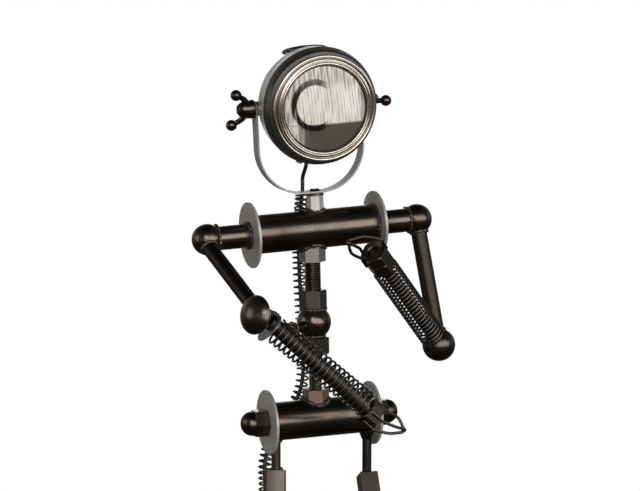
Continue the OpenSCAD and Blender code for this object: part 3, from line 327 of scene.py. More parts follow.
class MaterialLibrary:
    """Makes each node material once and hands it out by slot."""

    BLOTCH_BAND = (0.42, 0.72)
    SPECK_BAND = (0.5, 0.68)
    SPECK_GRAIN = 0.45
    SPECK_SHADE = 0.3
    WORN_BAND = (0.52, 0.62)
    COAT_ROUGHNESS = 0.2
    BUMP_STRENGTH = 0.35
    SMOOTHEST = 0.02

    def __init__(self) -> None:
        """Starts with no material made."""
        self._made: dict[str, Material] = {}

    def get(self, slot: Slot, finish: Finish | None = None) -> Material:
        """Gives a slot's material, or one with looks of its own, made on first use.

        Args:
            slot: The record slot.
            finish: Looks that aren't the slot's own.

        Returns:
            The material.
        """
        name = finish.name if finish else slot.value
        if name not in self._made:
            clear = {Slot.GLASS.value: self._glass, Slot.BULB.value: self._frosted, Slot.MIRROR.value: self._mirror}
            make = clear.get(name)
            self._made[name] = make() if make else self._surface(name, finish or FINISHES[slot])
        return self._made[name]

    @staticmethod
    def _new(name: str) -> tuple[Material, Graph, Node]:
        """Makes an empty node material with a Principled shader.

        Args:
            name: Name of the material.

        Returns:
            The material, its graph and its shader node.
        """
        material = bpy.data.materials.new(name)
        material.use_nodes = True
        return material, Graph(material.node_tree), material.node_tree.nodes["Principled BSDF"]

    def _surface(self, name: str, finish: Finish) -> Material:
        """Makes a lacquered or plain surface with blotches, specks, grain and edge wear.

        Args:
            name: Name of the material.
            finish: Its looks.

        Returns:
            The material.
        """
        material, graph, shader = self._new(name)
        place = graph.place()
        blotch = graph.noise(place, finish.blotch, 6.0)
        colour = graph.ramp(blotch, tuple(zip(self.BLOTCH_BAND, (finish.base, finish.stain))))
        specks = graph.noise(place, finish.grain * self.SPECK_GRAIN, 3.0)
        pit = tuple(self.SPECK_SHADE * c for c in finish.base)
        colour = graph.mix(graph.span(specks, self.SPECK_BAND, (0.0, finish.specks)), colour, pit)
        if finish.wear > 0.0:
            raised = graph.node("ShaderNodeNewGeometry").outputs["Pointiness"]
            pale = tuple(min(1.0, 0.22 + 1.6 * c) for c in finish.base)
            colour = graph.mix(graph.span(raised, self.WORN_BAND, (0.0, finish.wear)), colour, pale)
        rough = (max(self.SMOOTHEST, finish.rough - finish.rough_spread), finish.rough + finish.rough_spread)
        bump = graph.node("ShaderNodeBump", {"Strength": self.BUMP_STRENGTH, "Distance": finish.bump * MM,
                                             "Height": graph.noise(place, finish.grain, 4.0)})
        graph.fill(shader, {"Base Color": colour, "Metallic": finish.metal, "Coat Weight": finish.coat,
                            "Coat Roughness": self.COAT_ROUGHNESS, "Roughness": graph.span(blotch, (0.0, 1.0), rough),
                            "Normal": bump.outputs["Normal"]})
        return material

    def _glass(self) -> Material:
        """Makes the fluted lens glass: milky flutes with painted shade in their creases, painted light and shade in its
        fields, a painted highlight square, a painted image of the dark shield, and a smoked lower field.

        Returns:
            The material.
        """
        material, graph, shader = self._new(Slot.GLASS.value)
        look, sizes, lens = LensLook(), HeadlampSizes(), BONES.head
        middle = lens.translation + ORIGIN_SHIFT
        place = graph.place()

        def measure(way: Vector, unit: float) -> Socket:
            """Gives the distance from the lens's middle along a way, in units of so many millimetres."""
            return graph.maths("SUBTRACT", graph.along(place, way / (MM * unit)), way.dot(middle) / unit)

        side, up = Vector(lens.col[0][:3]), Vector(lens.col[1][:3])
        u, v = measure(side, sizes.glass_r), measure(up, sizes.glass_r)
        flat = graph.node("ShaderNodeCombineXYZ", {"X": u, "Y": v}).outputs["Vector"]
        (mid_x, mid_y), (half_x, half_y) = look.ring_mid, look.ring_half
        ring = graph.node("ShaderNodeMapping", {"Vector": flat, "Location": (-mid_x / half_x, -mid_y / half_y, 0),
                                                "Scale": (1 / half_x, 1 / half_y, 1)}).outputs["Vector"]
        far = graph.node("ShaderNodeVectorMath", {0: ring}, operation="LENGTH").outputs["Value"]
        streaks = graph.node("ShaderNodeMapping", {"Vector": flat, "Scale": look.streaks}).outputs["Vector"]
        cloud = graph.noise(streaks, 1.0)
        # Milky streaks: painted shade in the grey ones, painted light in the bright ones, which fill the field inside
        # the shield.
        grey = graph.mix(graph.step(cloud, (0.35, 0.65)), *look.shaded_streaks)
        bright = graph.mix(graph.step(cloud, (0.3, 0.6)), *look.lit)
        inner = graph.mix(graph.step(far, look.inside), bright, grey)
        # A painted highlight as a bright square, and painted shade where the open side dims.
        square = graph.maths("MULTIPLY", graph.window(u, look.square[0]), graph.window(v, look.square[1]))
        outer = graph.mix(graph.step(v, look.dim_top), bright, grey)
        outer = graph.mix(graph.step(u, look.dim_side), outer, grey)
        outer = graph.mix(square, outer, (1.0, 1.0, 0.98))
        colour = graph.mix(graph.step(u, look.seam), inner, outer)
        # Painted shade along the flutes' creases.
        pitch = 2 * (sizes.glass_r - sizes.glass_gap) / sizes.flutes
        comb = graph.maths("ABSOLUTE", graph.maths("SINE", measure(side + look.crease_slant * up, pitch / pi)))
        crease_shade = graph.maths("MULTIPLY", graph.step(comb, (0.6, 0.0), 0.95), graph.step(cloud, (0.75, 0.3)))
        colour = graph.mix(crease_shade, colour, look.crease_shade)
        low = graph.maths("MULTIPLY", graph.step(v, look.smoke_top), graph.step(u, look.smoke_side))
        colour = graph.mix(low, colour, graph.mix(cloud, *look.smoke))
        colour = graph.mix(graph.window(v, look.line_band), colour, look.line)
        # A painted dark ring, the image of the shield seen through the glass, fading out at its open side.
        fade = graph.maths("MULTIPLY", graph.step(u, look.ring_end), graph.step(cloud, (0.85, 0.5)))
        shade = graph.maths("MULTIPLY", graph.window(far, look.ring_band), fade)
        colour = graph.mix(shade, colour, look.shield)
        graph.fill(shader, {"Base Color": colour, "Transmission Weight": graph.span(low, (0.0, 1.0), look.clear),
                            "Roughness": 0.07, "IOR": 1.48})
        return material

    def _frosted(self) -> Material:
        """Makes the bulb's frosted glass.

        Returns:
            The material.
        """
        material, graph, shader = self._new(Slot.BULB.value)
        cloud = graph.noise(graph.place(), 120.0)
        tint = graph.ramp(cloud, ((0.0, (0.82, 0.79, 0.72)), (1.0, (0.92, 0.9, 0.84))))
        graph.fill(shader, {"Base Color": tint, "Transmission Weight": 0.35, "Roughness": 0.35})
        return material

    def _mirror(self) -> Material:
        """Makes the reflector's silvering, a little hazy.

        Returns:
            The material.
        """
        material, graph, shader = self._new(Slot.MIRROR.value)
        haze = graph.noise(graph.place(), 40.0)
        tint = graph.ramp(haze, ((0.0, (0.86, 0.84, 0.79)), (1.0, (0.96, 0.95, 0.92))))
        graph.fill(shader, {"Base Color": tint, "Metallic": 1.0, "Roughness": 0.26})
        return material


MATERIALS = MaterialLibrary()


# Mesh tools
class Mesh:
    """Collects points and faces in a local frame and makes a Blender object of them."""

    def __init__(self, name: str) -> None:
        """Starts an empty mesh.

        Args:
            name: Name of its piece.
        """
        self.name = name
        self.points: list[Vector] = []
        self.faces: list[tuple[int, ...]] = []

    def grid(self, rows: Sequence[Sequence[Vector]], wrap_rows: bool = False, wrap_columns: bool = True,
             caps: bool = False) -> "Mesh":
        """Adds a skin of quads over rows of points.

        Args:
            rows: Rows of equal length.
            wrap_rows: Whether the last row joins the first.
            wrap_columns: Whether each row is a closed ring.
            caps: Whether the first and last rows are filled.

        Returns:
            The mesh itself.
        """
        start, count, width = len(self.points), len(rows), len(rows[0])
        for row in rows:
            self.points.extend(row)
        for i in range(count if wrap_rows else count - 1):
            for j in range(width if wrap_columns else width - 1):
                a, b = start + i * width, start + (i + 1) % count * width
                k = (j + 1) % width
                self.faces.append((a + j, a + k, b + k, b + j))
        if caps:
            last = start + (count - 1) * width
            self.faces.append(tuple(start + j for j in reversed(range(width))))
            self.faces.append(tuple(last + j for j in range(width)))
        return self

    def lathe(self, outline: Sequence[Pair], pose: Matrix, sides: int = 96,
              closed: bool = True) -> "Mesh":
        """Turns an outline of (radius, height) round the local Z axis.

        Args:
            outline: Points of the outline.
            pose: Local frame.
            sides: Number of steps round.
            closed: Whether the outline's last point joins its first.

        Returns:
            The mesh itself.
        """
        rows = [[pose @ polar(r, f, z) for f in angles(sides)] for r, z in outline]
        return self.grid(rows, wrap_rows=closed)

    def ball(self, centre: Point, radius: float, pose: Matrix | None = None, rings: int = 40,
             sides: int = 72) -> "Mesh":
        """Adds a ball.

        Args:
            centre: Its middle.
            radius: Its radius.
            pose: Frame that the middle is given in.
            rings: Steps from pole to pole.
            sides: Steps round.

        Returns:
            The mesh itself.
        """
        outline = [(max(0.02, radius * sin(pi * i / rings)), -radius * cos(pi * i / rings))
                   for i in range(rings + 1)]
        return self.lathe(outline, (pose or Matrix()) @ Matrix.Translation(Vector(centre)), sides, closed=False)

    def tube(self, path: Sequence[Vector], radius: float | Callable[[int], float], sides: int = 12,
             closed: bool = False) -> "Mesh":
        """Sweeps a round section along a path without twist.

        Args:
            path: Points of the middle line.
            radius: Radius, or a function of the point's number.
            sides: Number of sides of the section.
            closed: Whether the path is a ring.

        Returns:
            The mesh itself.
        """
        size = radius if callable(radius) else (lambda _: radius)
        rows = []
        for i, (point, along, side) in enumerate(carried_frames(path, closed)):
            up = along.cross(side)
            rows.append([point + size(i) * (cos(f) * side + sin(f) * up) for f in angles(sides)])
        return self.grid(rows, wrap_rows=closed, caps=not closed)

    def hex_nut(self, pose: Matrix, flats: float, height: float, bore: float, chamfer: float = 0.93,
                sides: int = 72, both: bool = True) -> None:
        """Adds a nut with turned chamfers.

        Args:
            pose: Frame with the nut's foot at the origin.
            flats: Width across the flats.
            height: Height.
            bore: Radius of the hole, 0 for none.
            chamfer: Radius where the chamfer starts, as a share of the corner's.
            sides: Steps round, a multiple of six.
            both: Whether the foot is chamfered too.
        """
        corner = flats / cos(radians(30)) / 2
        start = corner * chamfer
        rows: list[list[Vector]] = []

        def ring(radius: Callable[[float], float], level: Callable[[float], float]) -> None:
            """Adds a ring whose radius and height follow the angle."""
            rows.append([pose @ polar(radius(f), f, level(f)) for f in angles(sides)])

        def outline(f: float) -> float:
            """Gives the hexagon's radius at an angle."""
            nearest = radians(30) + radians(60) * round((f - radians(30)) / radians(60))
            return flats / 2 / cos(f - nearest)

        def drop(f: float) -> float:
            """Gives how far the chamfer cuts down at an angle."""
            return max(0.0, outline(f) - start) * 0.75 + 0.3

        inner = max(bore, 0.05)
        ring(lambda f: inner, lambda f: 0.0)
        ring(lambda f: min(start, outline(f)) - 0.4, lambda f: 0.0)
        ring(outline, (lambda f: drop(f)) if both else (lambda f: 0.0))
        ring(outline, lambda f: height - drop(f))
        ring(lambda f: min(start, outline(f)) - 0.4, lambda f: height)
        ring(lambda f: inner + (1.0 if bore else 0.0), lambda f: height)
        if bore:
            ring(lambda f: inner, lambda f: height - 1.0)
        self.grid(rows, wrap_rows=True)

    def thread(self, pose: Matrix, radius: float, length: float, pitch: float, depth: float,
               sides: int = 48) -> None:
        """Adds a threaded rod whose crest is at the given radius.

        Args:
            pose: Frame with +Z along the rod.
            radius: Radius at the crest.
            length: Length.
            pitch: Pitch.
            depth: Depth of the thread.
            sides: Steps round.
        """
        steps = int(length / pitch * 6)
        rows = []
        for i in range(steps + 1):
            z = length * i / steps
            row = []
            for j in range(sides):
                turn = (z / pitch - j / sides) % 1.0
                groove = depth * (1.0 - abs(2.0 * turn - 1.0) * 1.3)
                r = radius - max(0.0, min(depth, groove))
                row.append(pose @ polar(r, tau * j / sides, z))
            rows.append(row)
        self.grid(rows, caps=True)

    def coil(self, path: Sequence[Vector], radius: float, wire: float, curls: float,
             per_curl: int = 20, sides: int = 8, seed: Vector | None = None) -> None:
        """Adds a wire that winds round a path.

        Args:
            path: Middle line of the winding.
            radius: Radius of the wire's middle.
            wire: Wire diameter.
            curls: Number of curls.
            per_curl: Points for each curl.
            sides: Sides of the wire.
            seed: Direction in which the winding starts.
        """
        count = int(curls * per_curl)
        frames = carried_frames(even_path(list(path), count))
        offset = 0.0
        if seed is not None:
            _, first, side = frames[0]
            offset = atan2(seed.dot(first.cross(side)), seed.dot(side))
        line = []
        for i, (point, direction, side) in enumerate(frames):
            f = tau * i / per_curl + offset
            line.append(point + radius * (cos(f) * side + sin(f) * direction.cross(side)))
        self.tube(line, wire / 2, sides=sides)

    def square_bar(self, pose: Matrix, size: float, length: float, edge: float = 1.6) -> None:
        """Adds a square bar with rounded edges.

        Args:
            pose: Frame with +Z along the bar.
            size: Side of the square.
            length: Length.
            edge: Radius of its edges.
        """
        def ring(inset: float, z: float) -> list[Vector]:
            """Gives the bar's outline at a height.

            Args:
                inset: How far its sides are moved in.
                z: The height.

            Returns:
                Its points.
            """
            half, row = size / 2 - inset, []
            for corner in range(4):
                for k in range(5):
                    f = radians(corner * 90 + k * 22.5)
                    cx = (half - edge) * (1 if corner in (0, 3) else -1)
                    cy = (half - edge) * (1 if corner in (0, 1) else -1)
                    row.append(pose @ Vector((cx + edge * cos(f), cy + edge * sin(f), z)))
            return row
        self.grid([ring(edge * 0.7, 0), ring(0, edge * 0.7), ring(0, length - edge * 0.7), ring(edge * 0.7, length)],
                  caps=True)

    def build(self, slot: Slot, stands_for: Iterable[str] = (), sharp: float = 38.0, ride: bool = True,
              finish: Finish | None = None, body: Body = Body.ROBOT) -> Object:
        """Makes the Blender object, finishes it and fixes it to its body.

        Args:
            slot: Record slot that it belongs to.
            stands_for: CAD nodes that it replaces.
            sharp: Angle in degrees above which an edge stays sharp.
            ride: Whether it rides now.
            finish: Looks that aren't the slot's own.
            body: Body that it rides on.

        Returns:
            The object.
        """
        data = bpy.data.meshes.new(self.name)
        data.from_pydata([(p + ORIGIN_SHIFT) * MM for p in self.points], [], self.faces)
        cleaned = bmesh.new()
        cleaned.from_mesh(data)
        bmesh.ops.remove_doubles(cleaned, verts=cleaned.verts, dist=0.000002)
        bmesh.ops.recalc_face_normals(cleaned, faces=cleaned.faces)
        cleaned.to_mesh(data)
        cleaned.free()
        data.shade_smooth()
        data.set_sharp_from_angle(angle=radians(sharp))
        piece = bpy.data.objects.new(self.name, data)
        bpy.context.scene.collection.objects.link(piece)
        data.materials.append(MATERIALS.get(slot, finish))
        if stands_for:
            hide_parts(*stands_for)
        if ride:
            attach(piece, body.value)
        log.info("%s: %d points on %s", self.name, len(data.vertices), body.value)
        return piece


def carried_frames(path: Sequence[Vector], closed: bool = False) -> list[tuple[Vector, Vector, Vector]]:
    """Carries a side vector along a path without twist.

    Args:
        path: Points of the path.
        closed: Whether it is a ring.

    Returns:
        Point, direction and side vector at each point.
    """
    count = len(path)
    frames = []
    side = None
    for i, point in enumerate(path):
        before = path[i - 1] if i or closed else path[0]
        after = path[(i + 1) % count] if i + 1 < count or closed else path[-1]
        along = (after - before).normalized()
        if side is None:
            seed = Vector((0, 0, 1)) if abs(along.z) < 0.9 else Vector((0, 1, 0))
            side = along.cross(seed).normalized()
        side = (side - along * side.dot(along)).normalized()
        frames.append((Vector(point), along, side))
    return frames


def smooth_path(points: Sequence[Point], steps: int) -> list[Vector]:
    """Runs a smooth curve through a few points.

    Args:
        points: Points that the curve goes through.
        steps: Steps for each span.

    Returns:
        Points of the curve.
    """
    p = [Vector(q) for q in points]
    p = [2 * p[0] - p[1], *p, 2 * p[-1] - p[-2]]
    curve = []
    for i in range(1, len(p) - 2):
        a, b, c, d = p[i - 1:i + 3]
        for k in range(steps):
            t = k / steps
            curve.append(0.5 * (2 * b + (c - a) * t + (2 * a - 5 * b + 4 * c - d) * t * t
                                + (3 * b - a - 3 * c + d) * t ** 3))
    return [*curve, p[-2]]


def even_path(path: Sequence[Vector], count: int) -> list[Vector]:
    """Spreads points evenly along a path.

    Args:
        path: The path.
        count: Number of spans wanted.

    Returns:
        The evenly spread points.
    """
    lengths = [0.0]
    for a, b in zip(path, path[1:]):
        lengths.append(lengths[-1] + (b - a).length)
    spread, k = [], 0
    for i in range(count + 1):
        want = lengths[-1] * i / count
        while k < len(path) - 2 and lengths[k + 1] < want:
            k += 1
        share = (want - lengths[k]) / (lengths[k + 1] - lengths[k])
        spread.append(path[k].lerp(path[k + 1], min(1.0, share)))
    return spread


def along(start: Point, end: Point) -> Matrix:
    """Gives a frame at one point with +Z towards another, turned as in the part's source.

    Args:
        start: Origin of the frame.
        end: Point that +Z looks at.

    Returns:
        The frame.
    """
    v = Vector(end) - Vector(start)
    return (Matrix.Translation(Vector(start)) @ Matrix.Rotation(atan2(v.y, v.x), 4, "Z")
            @ Matrix.Rotation(acos(v.z / v.length), 4, "Y"))


def turned(degrees: float, axis: str) -> Matrix:
    """Gives a turn about one axis."""
    return Matrix.Rotation(radians(degrees), 4, axis)


def moved(x: float, y: float, z: float) -> Matrix:
    """Gives a shift."""
    return Matrix.Translation((x, y, z))


def polar(radius: float, angle: float, z: float = 0.0) -> Vector:
    """Gives the point at a radius, an angle and a height."""
    return Vector((radius * cos(angle), radius * sin(angle), z))


def angles(count: int) -> list[float]:
    """Gives so many angles evenly round."""
    return [tau * i / count for i in range(count)]


def outward(bar: Matrix, side: int, x: float) -> Matrix:
    """Gives a frame on a bar that lies along X, with +Z away from the bar's middle."""
    return bar @ Matrix.Diagonal((side, 1, 1, 1)) @ moved(x, 0, 0) @ turned(90, "Y")


def arc(middle: Pair, radius: float, first: float, last: float, steps: int) -> list[Pair]:
    """Gives a round stretch of an outline."""
    turns = (radians(first + (last - first) * i / steps) for i in range(steps + 1))
    return [(middle[0] + radius * cos(f), middle[1] + radius * sin(f)) for f in turns]


def saddle(tube: Matrix, post: Matrix, tube_r: float, post_r: float, way: int, count: int = 64) -> list[Vector]:
    """Gives the ring where a round post meets a tube that lies along X.

    Args:
        tube: Frame of the tube, along X.
        post: Frame of the post, along Z.
        tube_r: Radius of the tube.
        post_r: Radius of the post.
        way: 1 on top of the tube, -1 under it.
        count: Points of the ring.

    Returns:
        Points of the ring.
    """
    inverse = tube.inverted()
    axis = (inverse.to_3x3() @ (post.to_3x3() @ Vector((0, 0, 1)))).normalized()
    origin = inverse @ post.translation
    ring = []
    for f in angles(count):
        offset = inverse.to_3x3() @ (post.to_3x3() @ polar(post_r, f))
        y = origin.y + offset.y
        z = way * sqrt(max(1.0, (tube_r + 0.6) ** 2 - y * y))
        t = (z - origin.z - offset.z) / axis.z
        ring.append(tube @ Vector((origin.x + offset.x + axis.x * t, y, z)))
    return ring


# Shared sizes
@dataclass(frozen=True)
class Skeleton:
    """Frames and points that several sub-assemblies share, with the values of the part's source."""

    shoulder_x: float = -2.0
    shoulder_z: float = 1223.0
    shoulder_roll: float = 3.0
    hip_x: float = 10.0
    hip_z: float = 879.0
    hip_roll: float = 1.4
    spine_x: float = 3.5
    spine_lean: float = 1.5
    tube_r: float = 35.0
    ball_x: float = 200.0
    neck_nut_h: float = 26.0
    neck_washer_t: float = 5.0
    neck_x: float = 6.0
    yoke_h: float = 158.0
    head_yaw: float = 1.5
    head_rise: float = 9.0
    head_tilt: float = 5.0
    nut_turn: float = -20.0
    right_elbow: Spot = (-178.0, -196.0, 1104.0)
    left_elbow: Spot = (218.0, -60.0, 1010.0)
    right_hand: Spot = (36.0, -190.0, 920.0)
    left_hand: Spot = (44.0, -190.0, 1196.0)
    elbow_washer_t: float = 5.0
    elbow_hub_l: float = 36.0
    elbow_hub_d: float = 40.0

    @property
    def shoulder(self) -> Matrix:
        """Frame of the shoulder bar."""
        return moved(self.shoulder_x, 0, self.shoulder_z) @ turned(-self.shoulder_roll, "Y")

    @property
    def hip(self) -> Matrix:
        """Frame of the hip bar."""
        return moved(self.hip_x, 0, self.hip_z) @ turned(-self.hip_roll, "Y")

    @property
    def spine(self) -> Matrix:
        """Frame of the spine, from the hip axis up."""
        return moved(self.spine_x, 0, self.hip_z) @ turned(-self.spine_lean, "Y")

    @property
    def tilt_z(self) -> float:
        """Height of the tilt axis over the shoulder axis."""
        return self.tube_r + self.neck_nut_h + self.neck_washer_t + self.yoke_h

    @property
    def yoke(self) -> Matrix:
        """Frame of the yoke, at the tilt axis."""
        return self.shoulder @ moved(0, 0, self.tilt_z) @ turned(-self.head_yaw, "Z")

    @property
    def head(self) -> Matrix:
        """Frame of the headlamp: +Z along its light, +Y up."""
        return self.yoke @ moved(0, 0, self.head_rise) @ turned(90 + self.head_tilt, "X")

    def shoulder_ball(self, side: int) -> Vector:
        """Middle of a shoulder ball, -1 for the robot's right."""
        return self.shoulder @ Vector((side * self.ball_x, 0, 0))

    @property
    def dome_axis(self) -> Vector:
        """Direction of the right elbow's domed bolt."""
        return Vector((-0.85, -0.49, 0.2)).normalized()

    @property
    def hub_mid(self) -> Vector:
        """Middle of the right elbow's hub."""
        return Vector(self.right_elbow) - self.dome_axis * (self.elbow_washer_t + self.elbow_hub_l / 2)


BONES = Skeleton()


# Shared pieces
def circle(pose: Matrix, radius: float, count: int = 72) -> list[Vector]:
    """Gives a ring of points in a frame's XY plane."""
    return [pose @ polar(radius, f) for f in angles(count)]


def weld(name: str, paths: Iterable[Sequence[Vector]], radius: float = 2.2, closed: bool = True) -> Object:
    """Makes rippled weld beads along paths.

    Args:
        name: Name of the piece.
        paths: Middle lines of the beads.
        radius: Mean radius of a bead.
        closed: Whether the paths are rings.

    Returns:
        The piece.
    """
    mesh = Mesh(name)
    for path in paths:
        count = max(24, int(sum((b - a).length for a, b in zip(path, path[1:])) / 0.9))
        run = even_path([*path, path[0]] if closed else list(path), count)
        run = run[:-1] if closed else run
        seed = Vector((len(name) * 3.1, radius, 0.5))

        def ripple(i: int, run: list[Vector] = run, seed: Vector = seed) -> float:
            """Gives the bead's radius at a point: lumps, ripples and thin ends.

            Args:
                i: Number of the point.
                run: Middle line of the bead.
                seed: Shift of the noise.

            Returns:
                The radius.
            """
            lump = noise.noise(run[i] * 0.09 + seed) * 0.6 + noise.noise(run[i] * 0.3 + seed) * 0.35
            scale = 1.0 if closed else min(1.0, 0.35 + 0.25 * min(i, len(run) - 1 - i))
            return radius * scale * (1.0 + lump + 0.08 * sin(i * 0.9))

        mesh.tube(run, ripple, sides=10, closed=closed)
    return mesh.build(Slot.DARK, sharp=WIRE_EDGE, finish=WELD)


# Headlamp
@dataclass(frozen=True)
class HeadlampSizes:
    """Sizes of the headlamp about and along its own axis.

    Names that end in _a are places along the axis, towards the light.
    """

    housing_r: float = 103.5
    bowl_r: float = 102.5
    bowl_a: float = 48.0
    bowl_depth: float = 90.0
    bowl_steps: int = 36
    bowl_pole_r: float = 40.0
    wall: float = 2.0
    seam_a: float = 70.0
    tab_turn: float = -113.0
    bezel_a: float = 90.0
    bezel_depth: float = 15.0
    bezel_r: float = 94.0
    bezel_sides: int = 128
    glass_r: float = 77.0
    glass_t: float = 3.0
    glass_gap: float = 0.6
    glass_dome: float = 7.0
    glass_set: float = 6.0
    glass_steps: int = 180
    flutes: int = 26
    flute_slant: float = 0.1
    flute_depth: float = 1.2
    low_flutes: float = -0.27
    low_flute_w: float = 1.7
    low_flute_slant: float = 0.02
    low_flute_depth: float = 0.5
    reflector_a: float = 26.0
    reflector_hole_r: float = 27.0
    reflector_eye_r: float = 15.0
    reflector_gap: float = 1.5
    reflector_set: float = 10.5
    reflector_steps: int = 30
    shield_r: float = 42.0
    shield_a: float = 68.0
    shield_depth: float = 26.0
    bulb_r: float = 22.5
    bulb_mid: float = 62.0
    bulb_neck_r: float = 13.4
    bulb_foot: float = 15.5
    bulb_neck_top: float = 39.0
    vent_up: float = 84.5
    vent_a: float = -6.0
    vent_tip: float = 16.0
    vent_r: float = 41.5
    vent_h: float = 8.0
    vent_neck_r: float = 22.0
    vent_neck_depth: float = 22.0

    @property
    def bezel_top(self) -> float:
        """Front of the bezel."""
        return self.bezel_a + self.bezel_depth


@dataclass(frozen=True)
class Headlamp:
    """The headlamp: shells, bezel, fluted lens, reflector, bulb and vent."""

    s: HeadlampSizes
    pose: Matrix

    def build(self) -> None:
        """Builds every piece of the headlamp."""
        self._shell()
        self._drum()
        self._bezel()
        self._lens()
        self._reflector()
        self._bulb()
        self._vent()

    def _spin(self, name: str, slot: Slot, outline: Sequence[Pair], *nodes: str, sides: int = 96,
              closed: bool = True, finish: Finish | None = None) -> None:
        """Spins an outline round the headlamp's axis, in place of so many nodes."""
        Mesh(name).lathe(outline, self.pose, sides, closed).build(slot, nodes, finish=finish, body=Body.HEAD)

    def _shell(self) -> None:
        """Builds the rear bowl with its rolled lip."""
        s = self.s
        outer = [(max(0.05, s.bowl_r * sin(f)), s.bowl_a - s.bowl_depth * cos(f))
                 for f in (pi / 2 * i / s.bowl_steps for i in range(s.bowl_steps + 1))]
        lip = [(s.housing_r + 0.2, s.seam_a - 5), (s.housing_r + 1.3, s.seam_a - 3.6),
               (s.housing_r + 1.5, s.seam_a - 2), (s.housing_r + 0.8, s.seam_a - 0.3), (s.housing_r - 1, s.seam_a)]
        inner = [(max(0.05, r - s.wall), a + (s.wall if r < s.bowl_pole_r else 0)) for r, a in reversed(outer)]
        self._spin("rear_bowl", Slot.SHELL, [*outer, *lip, *inner], "rear_shell", closed=False)

    def _drum(self) -> None:
        """Builds the front drum, round over its edge, and the tab on its seam."""
        s = self.s
        outline = [(s.housing_r - 3, s.seam_a + 0.3), (s.housing_r + 0.6, s.seam_a + 0.3),
                   (s.housing_r + 1.2, s.seam_a + 1.4), (s.housing_r + 0.6, s.seam_a + 2.6),
                   (s.housing_r - 0.2, s.seam_a + 3.2)]
        drop = s.housing_r - s.bezel_r - 2
        for f in range(0, 91, 6):
            outline.append((s.housing_r - 0.5 - drop * (1 - cos(radians(f))),
                            s.seam_a + 6 + (s.bezel_a - s.seam_a - 6.1) * sin(radians(f))))
        outline += [(s.glass_r - 4, s.bezel_a - 0.2), (s.glass_r - 4, s.bezel_a - 2.2),
                    (s.bezel_r - 4, s.bezel_a - 2.2)]
        self._spin("front_ring", Slot.DARK, outline, "front_drum", finish=DRUM)
        at = self.pose @ turned(s.tab_turn, "Z") @ moved(s.housing_r - 1, -5, s.seam_a - 2)
        section = ((0, 0), (4.6, 0.6), (4.6, 9.4), (0, 10))
        rows = [[at @ Vector((x, y, z)) for x, y in section] for z in (0.0, 0.6, 7.4, 8.0)]
        Mesh("seam_tab").grid(rows, caps=True).build(Slot.DARK, body=Body.HEAD)

    def _bezel(self) -> None:
        """Builds the bezel with its three beads, the band between them and the lens's rubber seal."""
        s, top = self.s, self.s.bezel_top
        outline = [(s.bezel_r - 3, s.bezel_a), (s.bezel_r - 0.4, s.bezel_a + 0.4), (s.bezel_r, s.bezel_a + 2)]
        outline += arc((s.bezel_r - 2.6, top - 6.0), 2.6, 0, 150, 8)
        outline += [(s.bezel_r - 5.6, top - 5.2), (s.bezel_r - 6.4, top - 4.4)]
        outline += [(s.bezel_r - 7.5, top - 3.4), (s.glass_r + 9.0, top - 0.8), (s.glass_r + 7.6, top - 0.5)]
        outline += arc((s.glass_r + 5.9, top - 0.9), 1.5, 40, 180, 6)
        outline += arc((s.glass_r + 2.2, top - 1.6), 2.0, 30, 180, 8)
        outline += [(s.glass_r, top - 3.5), (s.glass_r - 0.4, top - 7), (s.glass_r + 4, top - 8),
                    (s.bezel_r - 5, s.bezel_a)]
        self._spin("bezel_ring", Slot.CHROME, outline, "bezel", sides=s.bezel_sides)
        band = [(s.bezel_r - 5.2, top - 5.6), (s.bezel_r - 6.6, top - 4.1), (s.bezel_r - 7.7, top - 3.0),
                (s.glass_r + 8.8, top - 0.5), (s.glass_r + 8.6, top - 1.2), (s.bezel_r - 7.9, top - 3.8)]
        self._spin("bezel_band", Slot.CHROME, band, sides=s.bezel_sides, finish=BAND)
        rubber = [(s.glass_r - 0.2, top - 8.6), (s.glass_r - 0.2, top - 3.6), (s.glass_r - 1.6, top - 3.2),
                  (s.glass_r - 2.6, top - 4.4), (s.glass_r - 2.6, top - 8.6)]
        self._spin("glass_seal", Slot.RUBBER, rubber, sides=s.bezel_sides)

    def _glass_point(self, x: float, y: float, inner: bool) -> Vector:
        """Gives a point of the domed glass, which is fluted on its inner face.

        Args:
            x: Place across the lens.
            y: Place up the lens.
            inner: Whether it is on the inner face.

        Returns:
            The point.
        """
        s = self.s
        big = (s.glass_r ** 2 + s.glass_dome ** 2) / (2 * s.glass_dome)
        pitch = 2 * (s.glass_r - s.glass_gap) / s.flutes
        a = s.bezel_top - s.glass_set + sqrt(max(0.0, big * big - x * x - y * y)) - (big - s.glass_dome)
        if inner:
            low = y < s.low_flutes * s.glass_r
            slant = x + y * (s.flute_slant if y > 0 else s.low_flute_slant)
            wave = abs(sin(pi * slant / (pitch * s.low_flute_w if low else pitch)))
            a -= s.glass_t - s.glass_gap + (s.low_flute_depth if low else s.flute_depth) * wave
        return self.pose @ Vector((x, y, a))

    def _lens(self) -> None:
        """Builds the lens from two square grids that are pressed round, joined at the rim."""
        half, steps = self.s.glass_r - self.s.glass_gap, self.s.glass_steps
        shares = [-1 + 2 * i / steps for i in range(steps + 1)]
        mesh = Mesh("fluted_lens")
        for inner in (False, True):
            mesh.grid([[self._glass_point(u * sqrt(1 - v * v / 2) * half, v * sqrt(1 - u * u / 2) * half,
                                          inner) for u in shares] for v in shares], wrap_columns=False)
        width = steps + 1
        rim = ([j for j in range(steps)] + [i * width + steps for i in range(steps)]
               + [steps * width + steps - j for j in range(steps)] + [(steps - i) * width for i in range(steps)])
        for a, b in zip(rim, rim[1:] + rim[:1]):
            mesh.faces.append((a, b, width ** 2 + b, width ** 2 + a))
        mesh.build(Slot.GLASS, ["lens_glass"], sharp=60.0, body=Body.HEAD)

